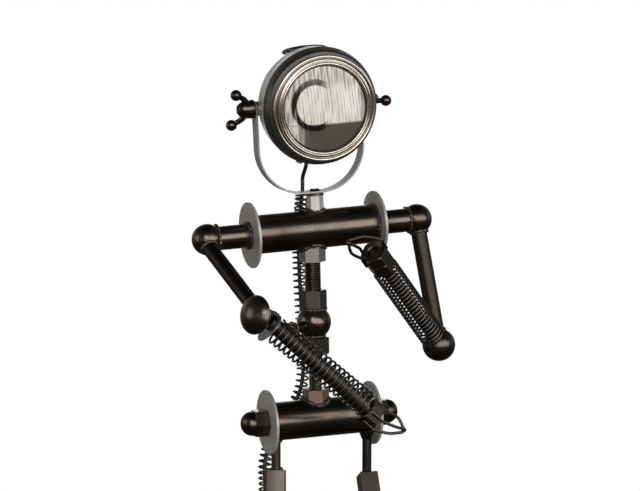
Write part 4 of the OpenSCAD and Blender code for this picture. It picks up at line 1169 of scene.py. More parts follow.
    def _reflector(self) -> None:
        """Builds the spun reflector and the shield ring in front of the bulb."""
        s = self.s
        inner_r, outer_r, front = s.reflector_hole_r, s.glass_r - s.reflector_gap, s.bezel_top - s.reflector_set
        bowl = []
        for i in range(s.reflector_steps + 1):
            r = inner_r + (outer_r - inner_r) * i / s.reflector_steps
            share = (r - s.reflector_eye_r) / (outer_r - s.reflector_eye_r)
            bowl.append((r, s.reflector_a + (front - s.reflector_a) * share ** 2))
        back = [(r + 1.2, a - 0.6) for r, a in reversed(bowl)]
        self._spin("reflector_bowl", Slot.MIRROR, [*bowl, *back], "reflector", sides=s.bezel_sides)
        ring, foot = s.shield_r, s.shield_a - s.shield_depth
        shield = [(ring - 7, s.shield_a - 1), (ring - 3, s.shield_a), (ring, s.shield_a - 2), (ring, foot),
                  (ring - 1.2, foot), (ring - 1.2, s.shield_a - 2.6), (ring - 3.2, s.shield_a - 1.2),
                  (ring - 7, s.shield_a - 2)]
        self._spin("bulb_shield", Slot.PLASTIC, shield)

    def _bulb(self) -> None:
        """Builds the bulb's glass: a neck and a round end."""
        s = self.s
        back = s.bowl_a - s.bowl_depth + s.wall
        centre = back + s.bulb_mid
        outline = [(0.05, back + s.bulb_foot), (s.bulb_neck_r, back + s.bulb_foot),
                   (s.bulb_neck_r, back + s.bulb_neck_top)]
        outline += [*arc((0, centre), s.bulb_r, -46, 82, 16), (0.05, centre + s.bulb_r)]
        self._spin("bulb_glass", Slot.BULB, outline, "bulb", sides=64, closed=False)

    def _vent(self) -> None:
        """Builds the mushroom cap with its rolled rim and its neck."""
        s = self.s
        pose = self.pose @ moved(0, s.vent_up, s.vent_a) @ turned(-90 - s.vent_tip, "X")
        r, h, neck = s.vent_r, s.vent_h, s.vent_neck_r
        outline = [(0.05, h + 2.2), (r * 0.5, h + 1.9), (r - 8, h + 0.9), (r - 3, h - 0.6), (r - 0.8, h - 2.4),
                   (r, h - 4.4), (r - 0.4, h - 5.8), (r - 1.6, h - 6.0), (r - 3.2, h - 4.6), (neck + 2, 1.0),
                   (neck, 0.0), (neck, -s.vent_neck_depth), (neck - 3, -s.vent_neck_depth), (neck - 3, 0), (0.05, 0)]
        Mesh("vent_disc").lathe(outline, pose, closed=False).build(Slot.DARK, ["vent_cap"], body=Body.HEAD)


# Yoke and wing nuts
@dataclass(frozen=True)
class YokeSizes:
    """Sizes of the yoke and of the wing nuts on its studs."""

    width: float = 199.8
    flat: float = 16.0
    strap_w: float = 28.0
    strap_t: float = 3.2
    strap_edge: float = 0.7
    height: float = 158.0
    tip_steps: int = 12
    bend_step: int = 6
    stud_bore: float = 5.2
    hub_gap: float = 0.3
    hub_r: float = 17.0
    hub_l: float = 28.0
    wing_foot: Pair = (4.0, 10.7)
    wing_bow: float = 3.5
    wing_bar_r: float = 6.6
    wing_taper: float = 2.6
    wing_steps: int = 8
    wing_r: float = 34.0
    wing_ball_r: float = 10.0
    wing_reach: float = 37.0
    right_turn: float = 35.0
    left_turn: float = 90.0


@dataclass(frozen=True)
class Yoke:
    """The bent strap that carries the headlamp, and its two wing nuts."""

    s: YokeSizes
    pose: Matrix

    def build(self) -> None:
        """Builds the strap and the wing nuts."""
        self._strap()
        self._wing_nut("wing_right", Body.WING_RIGHT, self.s.right_turn, -1)
        self._wing_nut("wing_left", Body.WING_LEFT, self.s.left_turn, 1)

    def _strap_line(self) -> list[Spot]:
        """Lays out the strap from tip to tip.

        Returns:
            For each point its x, its z and half the strap's width there.
        """
        s, top = self.s, self.s.strap_w / 2
        radius = s.width / 2 - s.flat
        line: list[Spot] = []
        for i in range(s.tip_steps + 1):
            z = top * (1 - i / s.tip_steps)
            line.append((s.width / 2, z, sqrt(max(0.0, 1 - (z / top) ** 2)) * top))
        line.append((s.width / 2, -s.height + radius, top))
        for f in (radians(degrees) for degrees in range(s.bend_step, 91, s.bend_step)):
            line.append((s.flat + radius * cos(f), -s.height + radius - radius * sin(f), top))
        line.append((0.0, -s.height, top))
        return [*line, *((-x, z, w) for x, z, w in reversed(line[:-1]))]

    def _strap(self) -> None:
        """Builds the strap with round tips and a bevelled section."""
        s, line, e = self.s, self._strap_line(), self.s.strap_edge
        rows = []
        for i, (x, z, w) in enumerate(line):
            before, after = line[max(0, i - 1)], line[min(len(line) - 1, i + 1)]
            direction = Vector((after[0] - before[0], 0, after[1] - before[1])).normalized()
            inward = Vector((direction.z, 0, -direction.x))
            if inward.dot(Vector((-x, 0, -z))) < 0:
                inward = -inward
            half = max(0.6, w)
            section = [(0, -half + e), (e, -half), (s.strap_t - e, -half), (s.strap_t, -half + e),
                       (s.strap_t, half - e), (s.strap_t - e, half), (e, half), (0, half - e)]
            rows.append([self.pose @ (Vector((x, 0, z)) + inward * t + Vector((0, y, 0))) for t, y in section])
        Mesh("yoke_strap").grid(rows, caps=True).build(Slot.MID, ["yoke"], body=Body.YOKE)

    def _wing_nut(self, name: str, body: Body, turn: float, side: int) -> None:
        """Builds a wing nut with two ball ends. It stands for the node with its body's name.

        Args:
            name: Name of the piece.
            body: Body that it rides on.
            turn: How far it is turned on its stud, in degrees.
            side: -1 for the robot's right, 1 for the left.
        """
        s = self.s
        start = s.width / 2 + s.hub_gap
        pose = self.pose @ Matrix.Diagonal((side, 1, 1, 1)) @ turned(turn, "X") @ turned(90, "Y")
        mesh = Mesh(name)
        end = start + s.hub_l
        hub = [(s.stud_bore, start), (s.hub_r - 1, start), (s.hub_r, start + 1.2), (s.hub_r - 1, start + 12),
               (s.hub_r - 2.2, end - 8), (s.hub_r - 4, end - 4), (s.hub_r - 7, end), (s.hub_r - 9, end + 1.6),
               (s.stud_bore, end + 1.6)]
        mesh.lathe(hub, pose, sides=64)
        out, up = s.wing_foot
        for way in (-1, 1):
            foot, tip = Vector((-out * way, 0, start + up)), Vector((-s.wing_r * way, 0, s.width / 2 + s.wing_reach))
            middle = foot.lerp(tip, 0.5) + Vector((-s.wing_bow * way, 0, -s.wing_bow))
            path = [pose @ p for p in smooth_path([foot, middle, tip], s.wing_steps)]
            mesh.tube(path, lambda i: s.wing_bar_r - s.wing_taper * i / (2 * s.wing_steps), sides=20)
            mesh.ball(tip, s.wing_ball_r, pose, rings=24, sides=40)
        mesh.build(Slot.DARK, [body.value], body=body)


# Torso
@dataclass(frozen=True)
class TorsoSizes:
    """Sizes of the two main bars and of the spine between them."""

    shoulder_l: float = 234.0
    shoulder_washer_r: float = 59.0
    hip_l: float = 194.0
    hip_washer_r: float = 58.0
    washer_t: float = 5.0
    washer_edge: float = 0.7
    bore_gap: float = 0.1
    stub_r: float = 21.5
    ball_r: float = 28.0
    neck_nut_af: float = 26.0
    neck_nut_sink: float = 3.0
    neck_bore_r: float = 6.2
    spine_rod_r: float = 15.0
    waist_rod_r: float = 12.0
    waist_ball_r: float = 31.0
    ball_sink: float = 0.5
    nut_seat: float = 22.0
    spine_nut_af: float = 42.0
    waist_nut_af: float = 46.0
    hip_nut_top: float = 53.0
    waist_rod_l: float = 64.0
    waist_nut_h: float = 28.0
    waist_nut_sink: float = 3.0
    coupling_top: float = 59.0
    block_h: float = 23.0
    rod_in_coupling: float = 12.0
    rod_in_block: float = 8.0
    rod_in_hip_nut: float = 7.0
    rod_in_waist_nut: float = 9.0
    dome_nut_af: float = 46.0
    dome_nut_hex: float = 25.0
    dome_flatness: float = 0.9
    dome_rise: float = 3.4
    hip_bar_r: float = 15.0
    thread_pitch: float = 3.5
    spine_thread: float = 1.9
    waist_thread: float = 1.6
    bar_weld_r: float = 3.0
    weld_reach: float = 2.6
    spine_post_r: float = 24.0
    neck_post_r: float = 15.5


class Torso:
    """Shoulder bar, spine and hip bar, with their washers, nuts and welds."""

    def __init__(self, sizes: TorsoSizes, bones: Skeleton) -> None:
        """Finds the height of the waist ball on the spine.

        Args:
            sizes: Sizes of the torso.
            bones: The shared frames.
        """
        self.s = sizes
        self.b = bones
        self.waist_z = sizes.hip_nut_top + sizes.waist_rod_l
        self.ball_z = self.waist_z + sizes.waist_nut_h + sizes.waist_ball_r - sizes.ball_sink

    def build(self) -> None:
        """Builds every piece of the torso."""
        self._washers()
        self._balls()
        self._spine()
        self._dome_nuts()
        self._neck()
        self._welds()

    def _washers(self) -> None:
        """Builds the two pairs of large washers with bevelled rims."""
        s, e, t = self.s, self.s.washer_edge, self.s.washer_t
        for name, bar, length, radius, inside, node in (
                ("shoulder_discs", self.b.shoulder, s.shoulder_l, s.shoulder_washer_r, s.stub_r, "shoulder_washers"),
                ("hip_discs", self.b.hip, s.hip_l, s.hip_washer_r, s.hip_bar_r, "hip_washers")):
            mesh, bore = Mesh(name), inside + s.bore_gap
            for side in (-1, 1):
                mesh.lathe([(bore, 0), (radius - e, 0), (radius, e), (radius, t - e), (radius - e, t), (bore, t)],
                           outward(bar, side, length / 2), sides=128)
            mesh.build(Slot.MID, [node])

    def _balls(self) -> None:
        """Builds the two shoulder balls."""
        mesh = Mesh("shoulder_spheres")
        for side in (-1, 1):
            mesh.ball(self.b.shoulder_ball(side), self.s.ball_r)
        mesh.build(Slot.DARK, ["shoulder_balls"])

    def _spine(self) -> None:
        """Builds the spine's two threaded rods, its ball and its three nuts."""
        s, pose = self.s, self.b.spine
        block_top = (self.b.shoulder_z - self.b.hip_z) / cos(radians(self.b.spine_lean))
        block_z = block_top - self.b.tube_r - s.block_h
        upper_l = block_z + s.rod_in_block - self.ball_z - s.coupling_top + s.rod_in_coupling
        lower_l = s.waist_rod_l + s.rod_in_hip_nut + s.rod_in_waist_nut
        for name, z, radius, length, depth, node in (
                ("spine_thread_upper", self.ball_z + s.coupling_top - s.rod_in_coupling, s.spine_rod_r, upper_l,
                 s.spine_thread, "upper_spine_rod"),
                ("spine_thread_lower", s.hip_nut_top - s.rod_in_hip_nut, s.waist_rod_r, lower_l, s.waist_thread,
                 "lower_spine_rod")):
            rod = Mesh(name)
            rod.thread(pose @ moved(0, 0, z), radius, length, s.thread_pitch, depth)
            rod.build(Slot.DARK, [node], sharp=THREAD_EDGE)
        Mesh("waist_sphere").ball((0, 0, self.ball_z), s.waist_ball_r, pose).build(Slot.DARK, ["waist_ball"])
        for name, z, flats, height, inside, both, slot, node in (
                ("coupling", self.ball_z + s.nut_seat, s.spine_nut_af, s.coupling_top - s.nut_seat, s.spine_rod_r,
                 False, Slot.DARK, "coupling_nut"),
                ("waist_lock_nut", self.waist_z, s.waist_nut_af, s.waist_nut_h + s.waist_nut_sink, s.waist_rod_r,
                 True, Slot.DARK, "waist_nut"),
                ("hip_lock_nut", s.nut_seat, s.spine_nut_af, s.hip_nut_top - s.nut_seat, s.waist_rod_r,
                 False, Slot.BROWN, "hip_nut")):
            nut = Mesh(name)
            nut.hex_nut(pose @ moved(0, 0, z) @ turned(self.b.nut_turn, "Z"), flats, height,
                          inside + s.bore_gap, both=both)
            nut.build(slot, [node])

    def _dome_nuts(self) -> None:
        """Builds the two domed nuts and the bar through the hip tube that they are on."""
        s = self.s
        mesh = Mesh("acorn_nuts")
        start = s.hip_l / 2 + s.washer_t
        r, base = s.dome_nut_af / 2 - 0.8, s.dome_nut_hex - 0.2
        for side in (-1, 1):
            at = outward(self.b.hip, side, start)
            mesh.hex_nut(at @ turned(30, "Z"), s.dome_nut_af, s.dome_nut_hex, 0, chamfer=0.9)
            outline = [(r - 0.6, base), (r, base + 0.8), (r, base + s.dome_rise)]
            outline += [(max(0.05, r * cos(radians(f))),
                         base + s.dome_rise + r * sin(radians(f)) * s.dome_flatness)
                        for f in range(6, 91, 6)]
            mesh.lathe(outline, at, sides=72, closed=False)
        mesh.tube([self.b.hip @ Vector((x, 0, 0)) for x in (-start, 0, start)], s.hip_bar_r, sides=32)
        mesh.build(Slot.DARK, ["dome_nuts"])

    def _neck(self) -> None:
        """Builds the neck nut, sunk a little in the shoulder tube."""
        s, b = self.s, self.b
        nut = Mesh("neck_lock_nut")
        pose = b.shoulder @ moved(b.neck_x, 0, b.tube_r - s.neck_nut_sink) @ turned(b.nut_turn, "Z")
        nut.hex_nut(pose, s.neck_nut_af, b.neck_nut_h + s.neck_nut_sink, s.neck_bore_r, both=False)
        nut.build(Slot.LIGHT, ["neck_nut"])

    def _welds(self) -> None:
        """Builds the weld beads of both bars, the spine and the neck."""
        s, b, paths = self.s, self.b, []
        contact = b.ball_x - sqrt(s.ball_r ** 2 - s.stub_r ** 2)
        for side in (-1, 1):
            for bar, x, radius in (
                    (b.shoulder, s.shoulder_l / 2 - s.weld_reach, b.tube_r + 0.2),
                    (b.hip, s.hip_l / 2 - s.weld_reach, b.tube_r + 0.2),
                    (b.shoulder, s.shoulder_l / 2 + s.washer_t + s.weld_reach, s.stub_r + 0.8),
                    (b.shoulder, contact, s.stub_r + 0.5)):
                paths.append(circle(outward(bar, side, x), radius))
        weld("bar_welds", paths, s.bar_weld_r)
        spine = [circle(b.spine @ moved(0, 0, z), radius)
                 for z, radius in ((self.ball_z + 24, 22.5), (self.ball_z - s.waist_ball_r + 6, 18.5))]
        weld("spine_welds", spine, 3.2)
        saddles = [saddle(b.shoulder, b.spine, b.tube_r, s.spine_post_r, -1),
                   saddle(b.hip, b.spine, b.tube_r, s.spine_post_r, 1),
                   saddle(b.shoulder, b.shoulder @ moved(b.neck_x, 0, 0), b.tube_r, s.neck_post_r, 1)]
        weld("saddle_welds", saddles, 3.4)


# Arms
@dataclass(frozen=True)
class ArmSizes:
    """Sizes of the arms and hands.

    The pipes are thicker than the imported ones, and the right one is shifted, as they lie in the photograph.
    """

    right_pipe_r: float = 13.8
    left_pipe_r: float = 14.6
    right_top_shift: float = -8.0
    right_low_shift: float = -5.0
    pipe_in_ball: float = 26.0
    pipe_in_hub: float = 12.0
    pipe_wave: float = 0.012
    pipe_steps: int = 40
    shoulder_ball_r: float = 28.0
    elbow_ball_r: float = 30.0
    dome_r: float = 34.0
    dome_h: float = 15.0
    dome_steps: int = 20
    dome_stud: Pair = (8.0, 19.0)
    seat_r: float = 28.0
    seat_hole_r: float = 3.0
    seat_t: float = 3.0
    seat_edge: float = 0.7
    seat_drop: float = 9.0
    taper: tuple[Pair, ...] = ((19.0, 0), (20.0, 1), (18.6, 8), (15.5, 18), (13.6, 27))
    brace_route: Route = (
        (-120, -150, 1076), (-89.7, -85, 1060), (-52, -38, 1050), (-22, -12, 1050))
    brace_r: float = 9.6
    brace_waist: float = 1.2
    brace_rings: tuple[tuple[int, float], ...] = ((-12, 9.8), (2, 11.6))
    right_rod_r: float = 14.0
    left_rod_r: float = 10.0
    spring_r: float = 22.4
    wire: float = 4.2
    right_curls: int = 20
    left_curls: int = 22
    spring_sag: float = 4.9
    spring_start: float = 13.0
    nut_af: float = 42.0
    nut_h: float = 24.0
    finger: float = 5.5
    finger_bow_at: float = 0.6
    tip_bead_r: float = 4.6
    weld_r: float = 2.9
    right_tip: Spot = (92.0, -205.0, 888.0)
    left_tip: Spot = (-12.0, -205.0, 1222.0)
    right_wires: tuple[tuple[float, Point, Point], ...] = (
        (-30, (-5, 0, -6), (-1, 0, -4)), (-90, (0, -3, 0), (0, -4, 2)), (150, (4, 2, 7), (1, 3, 2)))
    left_wires: tuple[tuple[float, Point, Point], ...] = (
        (150, (5, 0, 8), (1, 0, 4)), (-90, (0, 3, 0), (0, 4, -2)), (-30, (-4, -2, -7), (-1, -3, -2)))


class Arms:
    """Both arms: pipes, elbows, sprung forearms and wire fingers."""

    def __init__(self, sizes: ArmSizes, bones: Skeleton) -> None:
        """Finds the forearms' directions.

        Args:
            sizes: Sizes of the arms.
            bones: The shared frames.
        """
        self.s = sizes
        self.b = bones
        self.right_way = (Vector(bones.right_hand) - bones.hub_mid).normalized()
        self.left_way = (Vector(bones.left_hand) - Vector(bones.left_elbow)).normalized()
        self.right_up = self.right_way.cross(Vector((0, 1, 0))).normalized()

    def build(self) -> None:
        """Builds every piece of the arms."""
        self._elbows()
        self._springs()
        self._hands()
        self._brace()
        self._welds()

    def _pipes(self) -> list[tuple[int, Vector, Vector, str, float]]:
        """Places the upper arms as they lie in the photograph.

        Returns:
            Side, top, bottom, name and radius of each.
        """
        b, s = self.b, self.s
        return [(-1, b.shoulder_ball(-1) + Vector((s.right_top_shift, 0, 0)),
                 b.hub_mid + Vector((s.right_low_shift, 0, 0)), "right", s.right_pipe_r),
                (1, b.shoulder_ball(1), Vector(b.left_elbow), "left", s.left_pipe_r)]

    def _elbows(self) -> None:
        """Builds the upper arm pipes, the left elbow's ball, and the right one's dome and spring seat."""
        s, b = self.s, self.b
        Mesh("elbow_sphere").ball(b.left_elbow, s.elbow_ball_r).build(Slot.DARK, ["elbow_ball"])
        for side, start, low, name, pipe_r in self._pipes():
            way = (low - start).normalized()
            first, last = start + way * s.pipe_in_ball, low - way * (s.pipe_in_hub if side < 0 else s.pipe_in_ball)
            path = [first.lerp(last, i / s.pipe_steps) for i in range(s.pipe_steps + 1)]
            radii = [pipe_r * (1 + s.pipe_wave * noise.noise(Vector((i * 0.4, side, 2)))) for i in range(len(path))]
            Mesh(f"{name}_arm_pipe").tube(path, radii.__getitem__, sides=48).build(
                Slot.DARK, [f"upper_arm_{name}"], finish=PIPE)
        at = along(b.right_elbow, Vector(b.right_elbow) + b.dome_axis)
        big = (s.dome_r ** 2 + s.dome_h ** 2) / (2 * s.dome_h)
        half = asin(s.dome_r / big)
        outline = [(max(0.05, big * sin(half * i / s.dome_steps)),
                    s.dome_h - big + big * cos(half * i / s.dome_steps)) for i in range(s.dome_steps)]
        stud_r, stud_l = s.dome_stud
        outline += [(s.dome_r - 0.3, 1.2), (s.dome_r, 0.5), (s.dome_r - 0.6, 0.0), (stud_r, 0.0), (stud_r, -stud_l),
                    (0.05, -stud_l)]
        Mesh("elbow_cap").lathe(outline, at, closed=False).build(Slot.DARK, ["elbow_dome"])
        r, e, t = s.seat_r, s.seat_edge, s.seat_t
        foot = b.hub_mid + self.right_way * (b.elbow_hub_d / 2) - self.right_up * s.seat_drop
        disc = [(s.seat_hole_r, 0.0), (r - e, 0.0), (r, e), (r, t - e), (r - e, t), (s.seat_hole_r, t)]
        Mesh("spring_seat").lathe(disc, along(foot, foot + self.right_way)).build(
            Slot.MID, ["elbow_washer"], finish=BLOCK)

    def _springs(self) -> None:
        """Builds the two forearm springs, each from its elbow to its hand nut."""
        s, b, up = self.s, self.b, self.right_up
        start = b.hub_mid + self.right_way * (b.elbow_hub_d / 2 + s.spring_start) - up * s.spring_sag
        end = Vector(b.right_hand) - self.right_way * (s.nut_h / 2 + 2.2) + up * s.spring_sag
        right = Mesh("right_spring")
        right.coil([start, end], s.spring_r, s.wire, s.right_curls, seed=up)
        right.build(Slot.SPRING, ["forearm_spring_right"], sharp=WIRE_EDGE)
        start = Vector(b.left_elbow) + self.left_way * (s.elbow_ball_r + 2.2)
        end = Vector(b.left_hand) - self.left_way * (s.nut_h * 1.5 + 2.4)
        left = Mesh("left_spring")
        left.coil([start, end], s.spring_r, s.wire, s.left_curls)
        left.build(Slot.SPRING, ["forearm_spring_left"], sharp=WIRE_EDGE)

    def _brace(self) -> None:
        """Builds the tapered hub and the bar that ties the right elbow to the waist ball."""
        s, b = self.s, self.b
        at = along(b.right_elbow, Vector(b.right_elbow) - b.dome_axis)
        low, high = b.elbow_washer_t, b.elbow_washer_t + b.elbow_hub_l
        outline = [(0.05, low), *((r, low + a) for r, a in s.taper), (12.8, high - 1.5), (11.6, high), (0.05, high)]
        Mesh("elbow_taper").lathe(outline, at, sides=64, closed=False).build(Slot.DARK, ["elbow_hub"])
        start = Vector(b.right_elbow) - b.dome_axis * (high - 4)
        path = smooth_path([start, *s.brace_route], 10)
        Mesh("elbow_brace").tube(
            path, lambda i: s.brace_r - s.brace_waist * sin(pi * i / (len(path) - 1)), sides=32).build(
            Slot.DARK)
        weld("brace_welds", [circle(along(path[i], path[i + 1]), radius) for i, radius in s.brace_rings], 3.4)

    def _hands(self) -> None:
        """Builds the hand nuts, one on the right and two on the left, and the fingers."""
        s, b = self.s, self.b
        for name, hand, way, lows, rod_r, node in (
                ("right_hand_nut", b.right_hand, self.right_way, (-s.nut_h / 2,), s.right_rod_r, "hand_nut_right"),
                ("left_hand_nuts", b.left_hand, self.left_way, (-s.nut_h / 2, -s.nut_h * 1.5 - 0.05), s.left_rod_r,
                 "hand_nuts_left")):
            nuts, at = Mesh(name), along(hand, Vector(hand) + way)
            for low in lows:
                nuts.hex_nut(at @ moved(0, 0, low), s.nut_af, s.nut_h, rod_r + 0.1)
            nuts.build(Slot.DARK, [node])
        self._fingers("right_fingers", b.right_hand, self.right_way, s.right_tip, "fingers_right", s.right_wires)
        self._fingers("left_fingers", b.left_hand, self.left_way, s.left_tip, "fingers_left", s.left_wires)

    def _fingers(self, name: str, hand: Point, way: Vector, tip: Point, node: str,
                 wires: Sequence[tuple[float, Point, Point]]) -> None:
        """Bends three wires from a nut's flats to a shared tip.

        Args:
            name: Name of the piece.
            hand: Middle of the nut.
            way: Direction of the forearm.
            tip: Where the wires meet.
            node: CAD node that the piece replaces.
            wires: For each wire, its flat's angle, its bow and its end's offset.
        """
        s = self.s
        t, g = acos(way.z), atan2(way.y, way.x)
        one = Vector((cos(t) * cos(g), cos(t) * sin(g), -sin(t)))
        two = Vector((-sin(g), cos(g), 0))
        mesh = Mesh(name)
        ends = []
        for angle, bow, end in wires:
            f = radians(angle)
            start = (Vector(hand) - way * s.nut_h / 4
                     + (cos(f) * one + sin(f) * two) * (s.nut_af / 2 + s.finger / 2 + 0.05))
            straight = [start + way * s.nut_h * k for k in (0, 0.25, 0.75, 1.05)]
            last = Vector(tip) + Vector(end)
            bend = straight[3] + (Vector(tip) - straight[3]) * s.finger_bow_at + Vector(bow)
            mesh.tube(smooth_path([*straight, bend, last], 10), s.finger / 2, sides=14)
            ends.append(last)
        mesh.ball(sum(ends, Vector()) / 3, s.tip_bead_r, rings=16, sides=20)
        mesh.build(Slot.SPRING, [node], sharp=WIRE_EDGE)

    def _welds(self) -> None:
        """Builds the weld beads where the pipes and the left forearm meet their balls."""
        s, b = self.s, self.b
        rings = []
        right, left = self._pipes()
        for ball_at, other, radius, ball_r in (
                (right[1], right[2], s.right_pipe_r, s.shoulder_ball_r),
                (left[1], left[2], s.left_pipe_r, s.shoulder_ball_r),
                (left[2], left[1], s.left_pipe_r, s.elbow_ball_r),
                (Vector(b.left_elbow), Vector(b.left_hand), s.left_rod_r, s.elbow_ball_r)):
            reach = sqrt(ball_r ** 2 - radius ** 2)
            rings.append(circle(along(ball_at, other) @ moved(0, 0, reach + 0.5), radius + 0.6))
        weld("arm_welds", rings, s.weld_r)


# Legs
@dataclass(frozen=True)
class LegSizes:
    """Sizes and points of the legs."""

    bar: float = 34.0
    bar_in_knee: float = 6.0
    bar_in_nut: float = 4.0
    knee_r: float = 31.0
    rod_r: float = 8.5
    ankle_af: float = 46.0
    ankle_h: float = 26.0
    foot_w: float = 92.0
    foot_t: float = 14.0
    foot_toe: float = 165.0
    foot_heel: float = 50.0
    heel_corner: float = 20.0
    foot_mid: float = 57.0
    foot_half: float = 105.0
    weld_r: float = 2.6
    right: Route = ((-74, 0, 788), (-94, -56, 524), (-88, 4, 30))
    left: Route = ((98, -10, 770), (92, -132, 534), (112, -96, 30))
    right_turns: Spot = (4.0, -11.0, -17.0)
    left_turns: Spot = (4.0, 33.0, 4.0)


@dataclass(frozen=True)
class Legs:
    """Both legs: rods, square bars, knee balls, ankle nuts and feet."""

    s: LegSizes
    b: Skeleton

    def build(self) -> None:
        """Builds every piece of the legs."""
        s = self.s
        knees, ankles, thighs, shins, feet = (Mesh(name) for name in (
            "knee_spheres", "ankle_hexes", "thigh_squares", "shin_squares", "foot_plates"))
        rings: list[list[Vector]] = []
        reach = sqrt(s.knee_r ** 2 - (s.bar / 2) ** 2) - s.bar_in_knee
        for leg, turns in ((s.right, s.right_turns), (s.left, s.left_turns)):
            top, knee, ankle = (Vector(point) for point in leg)
            knees.ball(knee, s.knee_r)
            thigh, thigh_l = along(top, knee) @ turned(turns[0], "Z"), (knee - top).length
            thighs.square_bar(thigh, s.bar, thigh_l - reach)
            shin, shin_l = along(ankle, knee) @ turned(turns[1], "Z"), (knee - ankle).length
            low = (s.foot_t + s.ankle_h - ankle.z) / (knee - ankle).normalized().z - s.bar_in_nut
            shins.square_bar(shin @ moved(0, 0, low), s.bar, shin_l - reach - low)
            ankles.hex_nut(moved(ankle.x, ankle.y, s.foot_t) @ turned(self.b.nut_turn, "Z"), s.ankle_af,
                          s.ankle_h, 0)
            self._foot(feet, moved(ankle.x, ankle.y, 0) @ turned(turns[2], "Z"))
            rings.append(circle(moved(top.x, top.y, top.z + 1.5), s.rod_r + 1.6))
            for bar, length in ((thigh, thigh_l), (shin, shin_l)):
                rings.append(self._square_ring(bar @ moved(0, 0, length - reach - 6.5), s.bar / 2 + 0.4))
            rings.append(circle(moved(ankle.x, ankle.y, s.foot_t + 0.6), s.ankle_af / 2 + 2.2))
        for mesh, node in ((knees, "knee_balls"), (thighs, "thigh_bars"), (shins, "shin_bars"),
                           (ankles, "ankle_nuts"), (feet, "feet")):
            mesh.build(Slot.DARK, [node], finish=BAR if node.endswith("bars") else None)
        weld("leg_welds", rings, s.weld_r)
        hips = [saddle(self.b.hip, moved(leg[0][0], leg[0][1], 0), self.b.tube_r, s.rod_r + 1.2, -1)
                for leg in (s.right, s.left)]
        weld("hip_rod_welds", hips, s.weld_r)

    @staticmethod
    def _square_ring(pose: Matrix, half: float, steps: int = 8) -> list[Vector]:
        """Gives points round a square.

        Args:
            pose: Frame of the square.
            half: Half its side.
            steps: Points on each side.

        Returns:
            The points.
        """
        corners = ((1, 1), (-1, 1), (-1, -1), (1, -1))
        ring = []
        for a, b in zip(corners, corners[1:] + corners[:1]):
            ring += [pose @ Vector(((a[0] + (b[0] - a[0]) * t / steps) * half,
                                    (a[1] + (b[1] - a[1]) * t / steps) * half, 0.0)) for t in range(steps)]
        return ring

    def _foot(self, mesh: Mesh, pose: Matrix) -> None:
        """Adds a foot plate with a round toe and bevelled edges.

        Args:
            mesh: Mesh to add to.
            pose: Frame of the ankle on the floor, with the toe towards -Y.
        """
        s = self.s
        r, corner = s.foot_w / 2, s.heel_corner
        outline = arc((0, -s.foot_toe + r), r, 180, 360, 30)
        for sign, first in ((1, 0), (-1, 90)):
            outline += arc((sign * (r - corner), s.foot_heel - corner), corner, first, first + 90, 9)
        rows = []
        for inset, z in ((1.0, 0.0), (0.0, 1.0), (0.0, s.foot_t - 1.4), (0.5, s.foot_t - 0.4), (1.4, s.foot_t)):
            scale_x, scale_y = 1 - inset / r, 1 - inset / s.foot_half
            rows.append([pose @ Vector((x * scale_x, (y + s.foot_mid) * scale_y - s.foot_mid, z))
                         for x, y in outline])
        mesh.grid(rows, caps=True)


# Cable
@dataclass(frozen=True)
class CableSizes:
    """Route and sizes of the cable, its sleeve, the cord, the coil and the plug.

    The routes repeat those of the part's source. The sleeve's pitch is given down to each height.
    """

    cable_d: float = 7.0
    sleeve_r: float = 10.5
    sleeve_wire: float = 3.9
    sleeve_points: int = 2200
    sleeve_pitch: tuple[Pair, ...] = ((1150, 9.3), (860, 11.6), (0, 10.2))
    sleeve_route: Route = (
        (-13, 31.5, 1279), (-13, 37.9, 1258), (-12, 51, 1222), (-11, 52, 1150), (-7, 51, 1070), (-3, 51, 990),
        (-8, 52, 925), (-32, 54, 878), (-60, 60, 835), (-74, 60, 795), (-78, 50, 750), (-83, 30, 690), (-90, 6, 610),
        (-95, -5, 530), (-95, -8, 450), (-94, 7, 300), (-92, 21, 180), (-90, 33, 92))
    crown_points: int = 41
    crown_start: float = 0.08
    crown_span: float = 44.0
    crown_turn: float = 0.26
    crown_phase: float = 2.0
    yoke_route: Route = (
        (-13, 31.4, 1279.3), (-13, 28, 1290.5), (-13.5, 25.6, 1303.5))
    head_start: Route = ((-13.5, 25.5, 1304), (-13.9, 23.3, 1315.9))
    head_points: Route = ((-8, -118, 9.8), (-8, -107, 12), (-8, -100, 12))
    cord_route: Route = (
        (-90, 33, 91.8), (-89.6, 35.2, 76), (-89, 46, 53), (-87, 64, 32), (-83, 86, 14), (-78, 108, 5), (-73.5, 127, 4),
        (-67.7, 146, 4.5), (-56, 159.4, 7.2), (-44, 164, 9), (-32.2, 164, 9))
    switch_at: Pair = (0.0, 164.0)
    switch_l: float = 64.0
    switch_h: float = 18.0
    coil_at: Pair = (84.0, 112.0)
    coil_r: float = 52.0
    coil_turns: int = 3
    coil_steps: int = 24
    coil_climb: int = 12
    coil_gap: float = 0.8
    coil_lead: Spot = (18.0, 0.0, -2.6)
    floor_gap: float = 0.2
    plug_reach: float = 76.0
    plug_lead: float = 24.0
    plug_h: float = 14.0


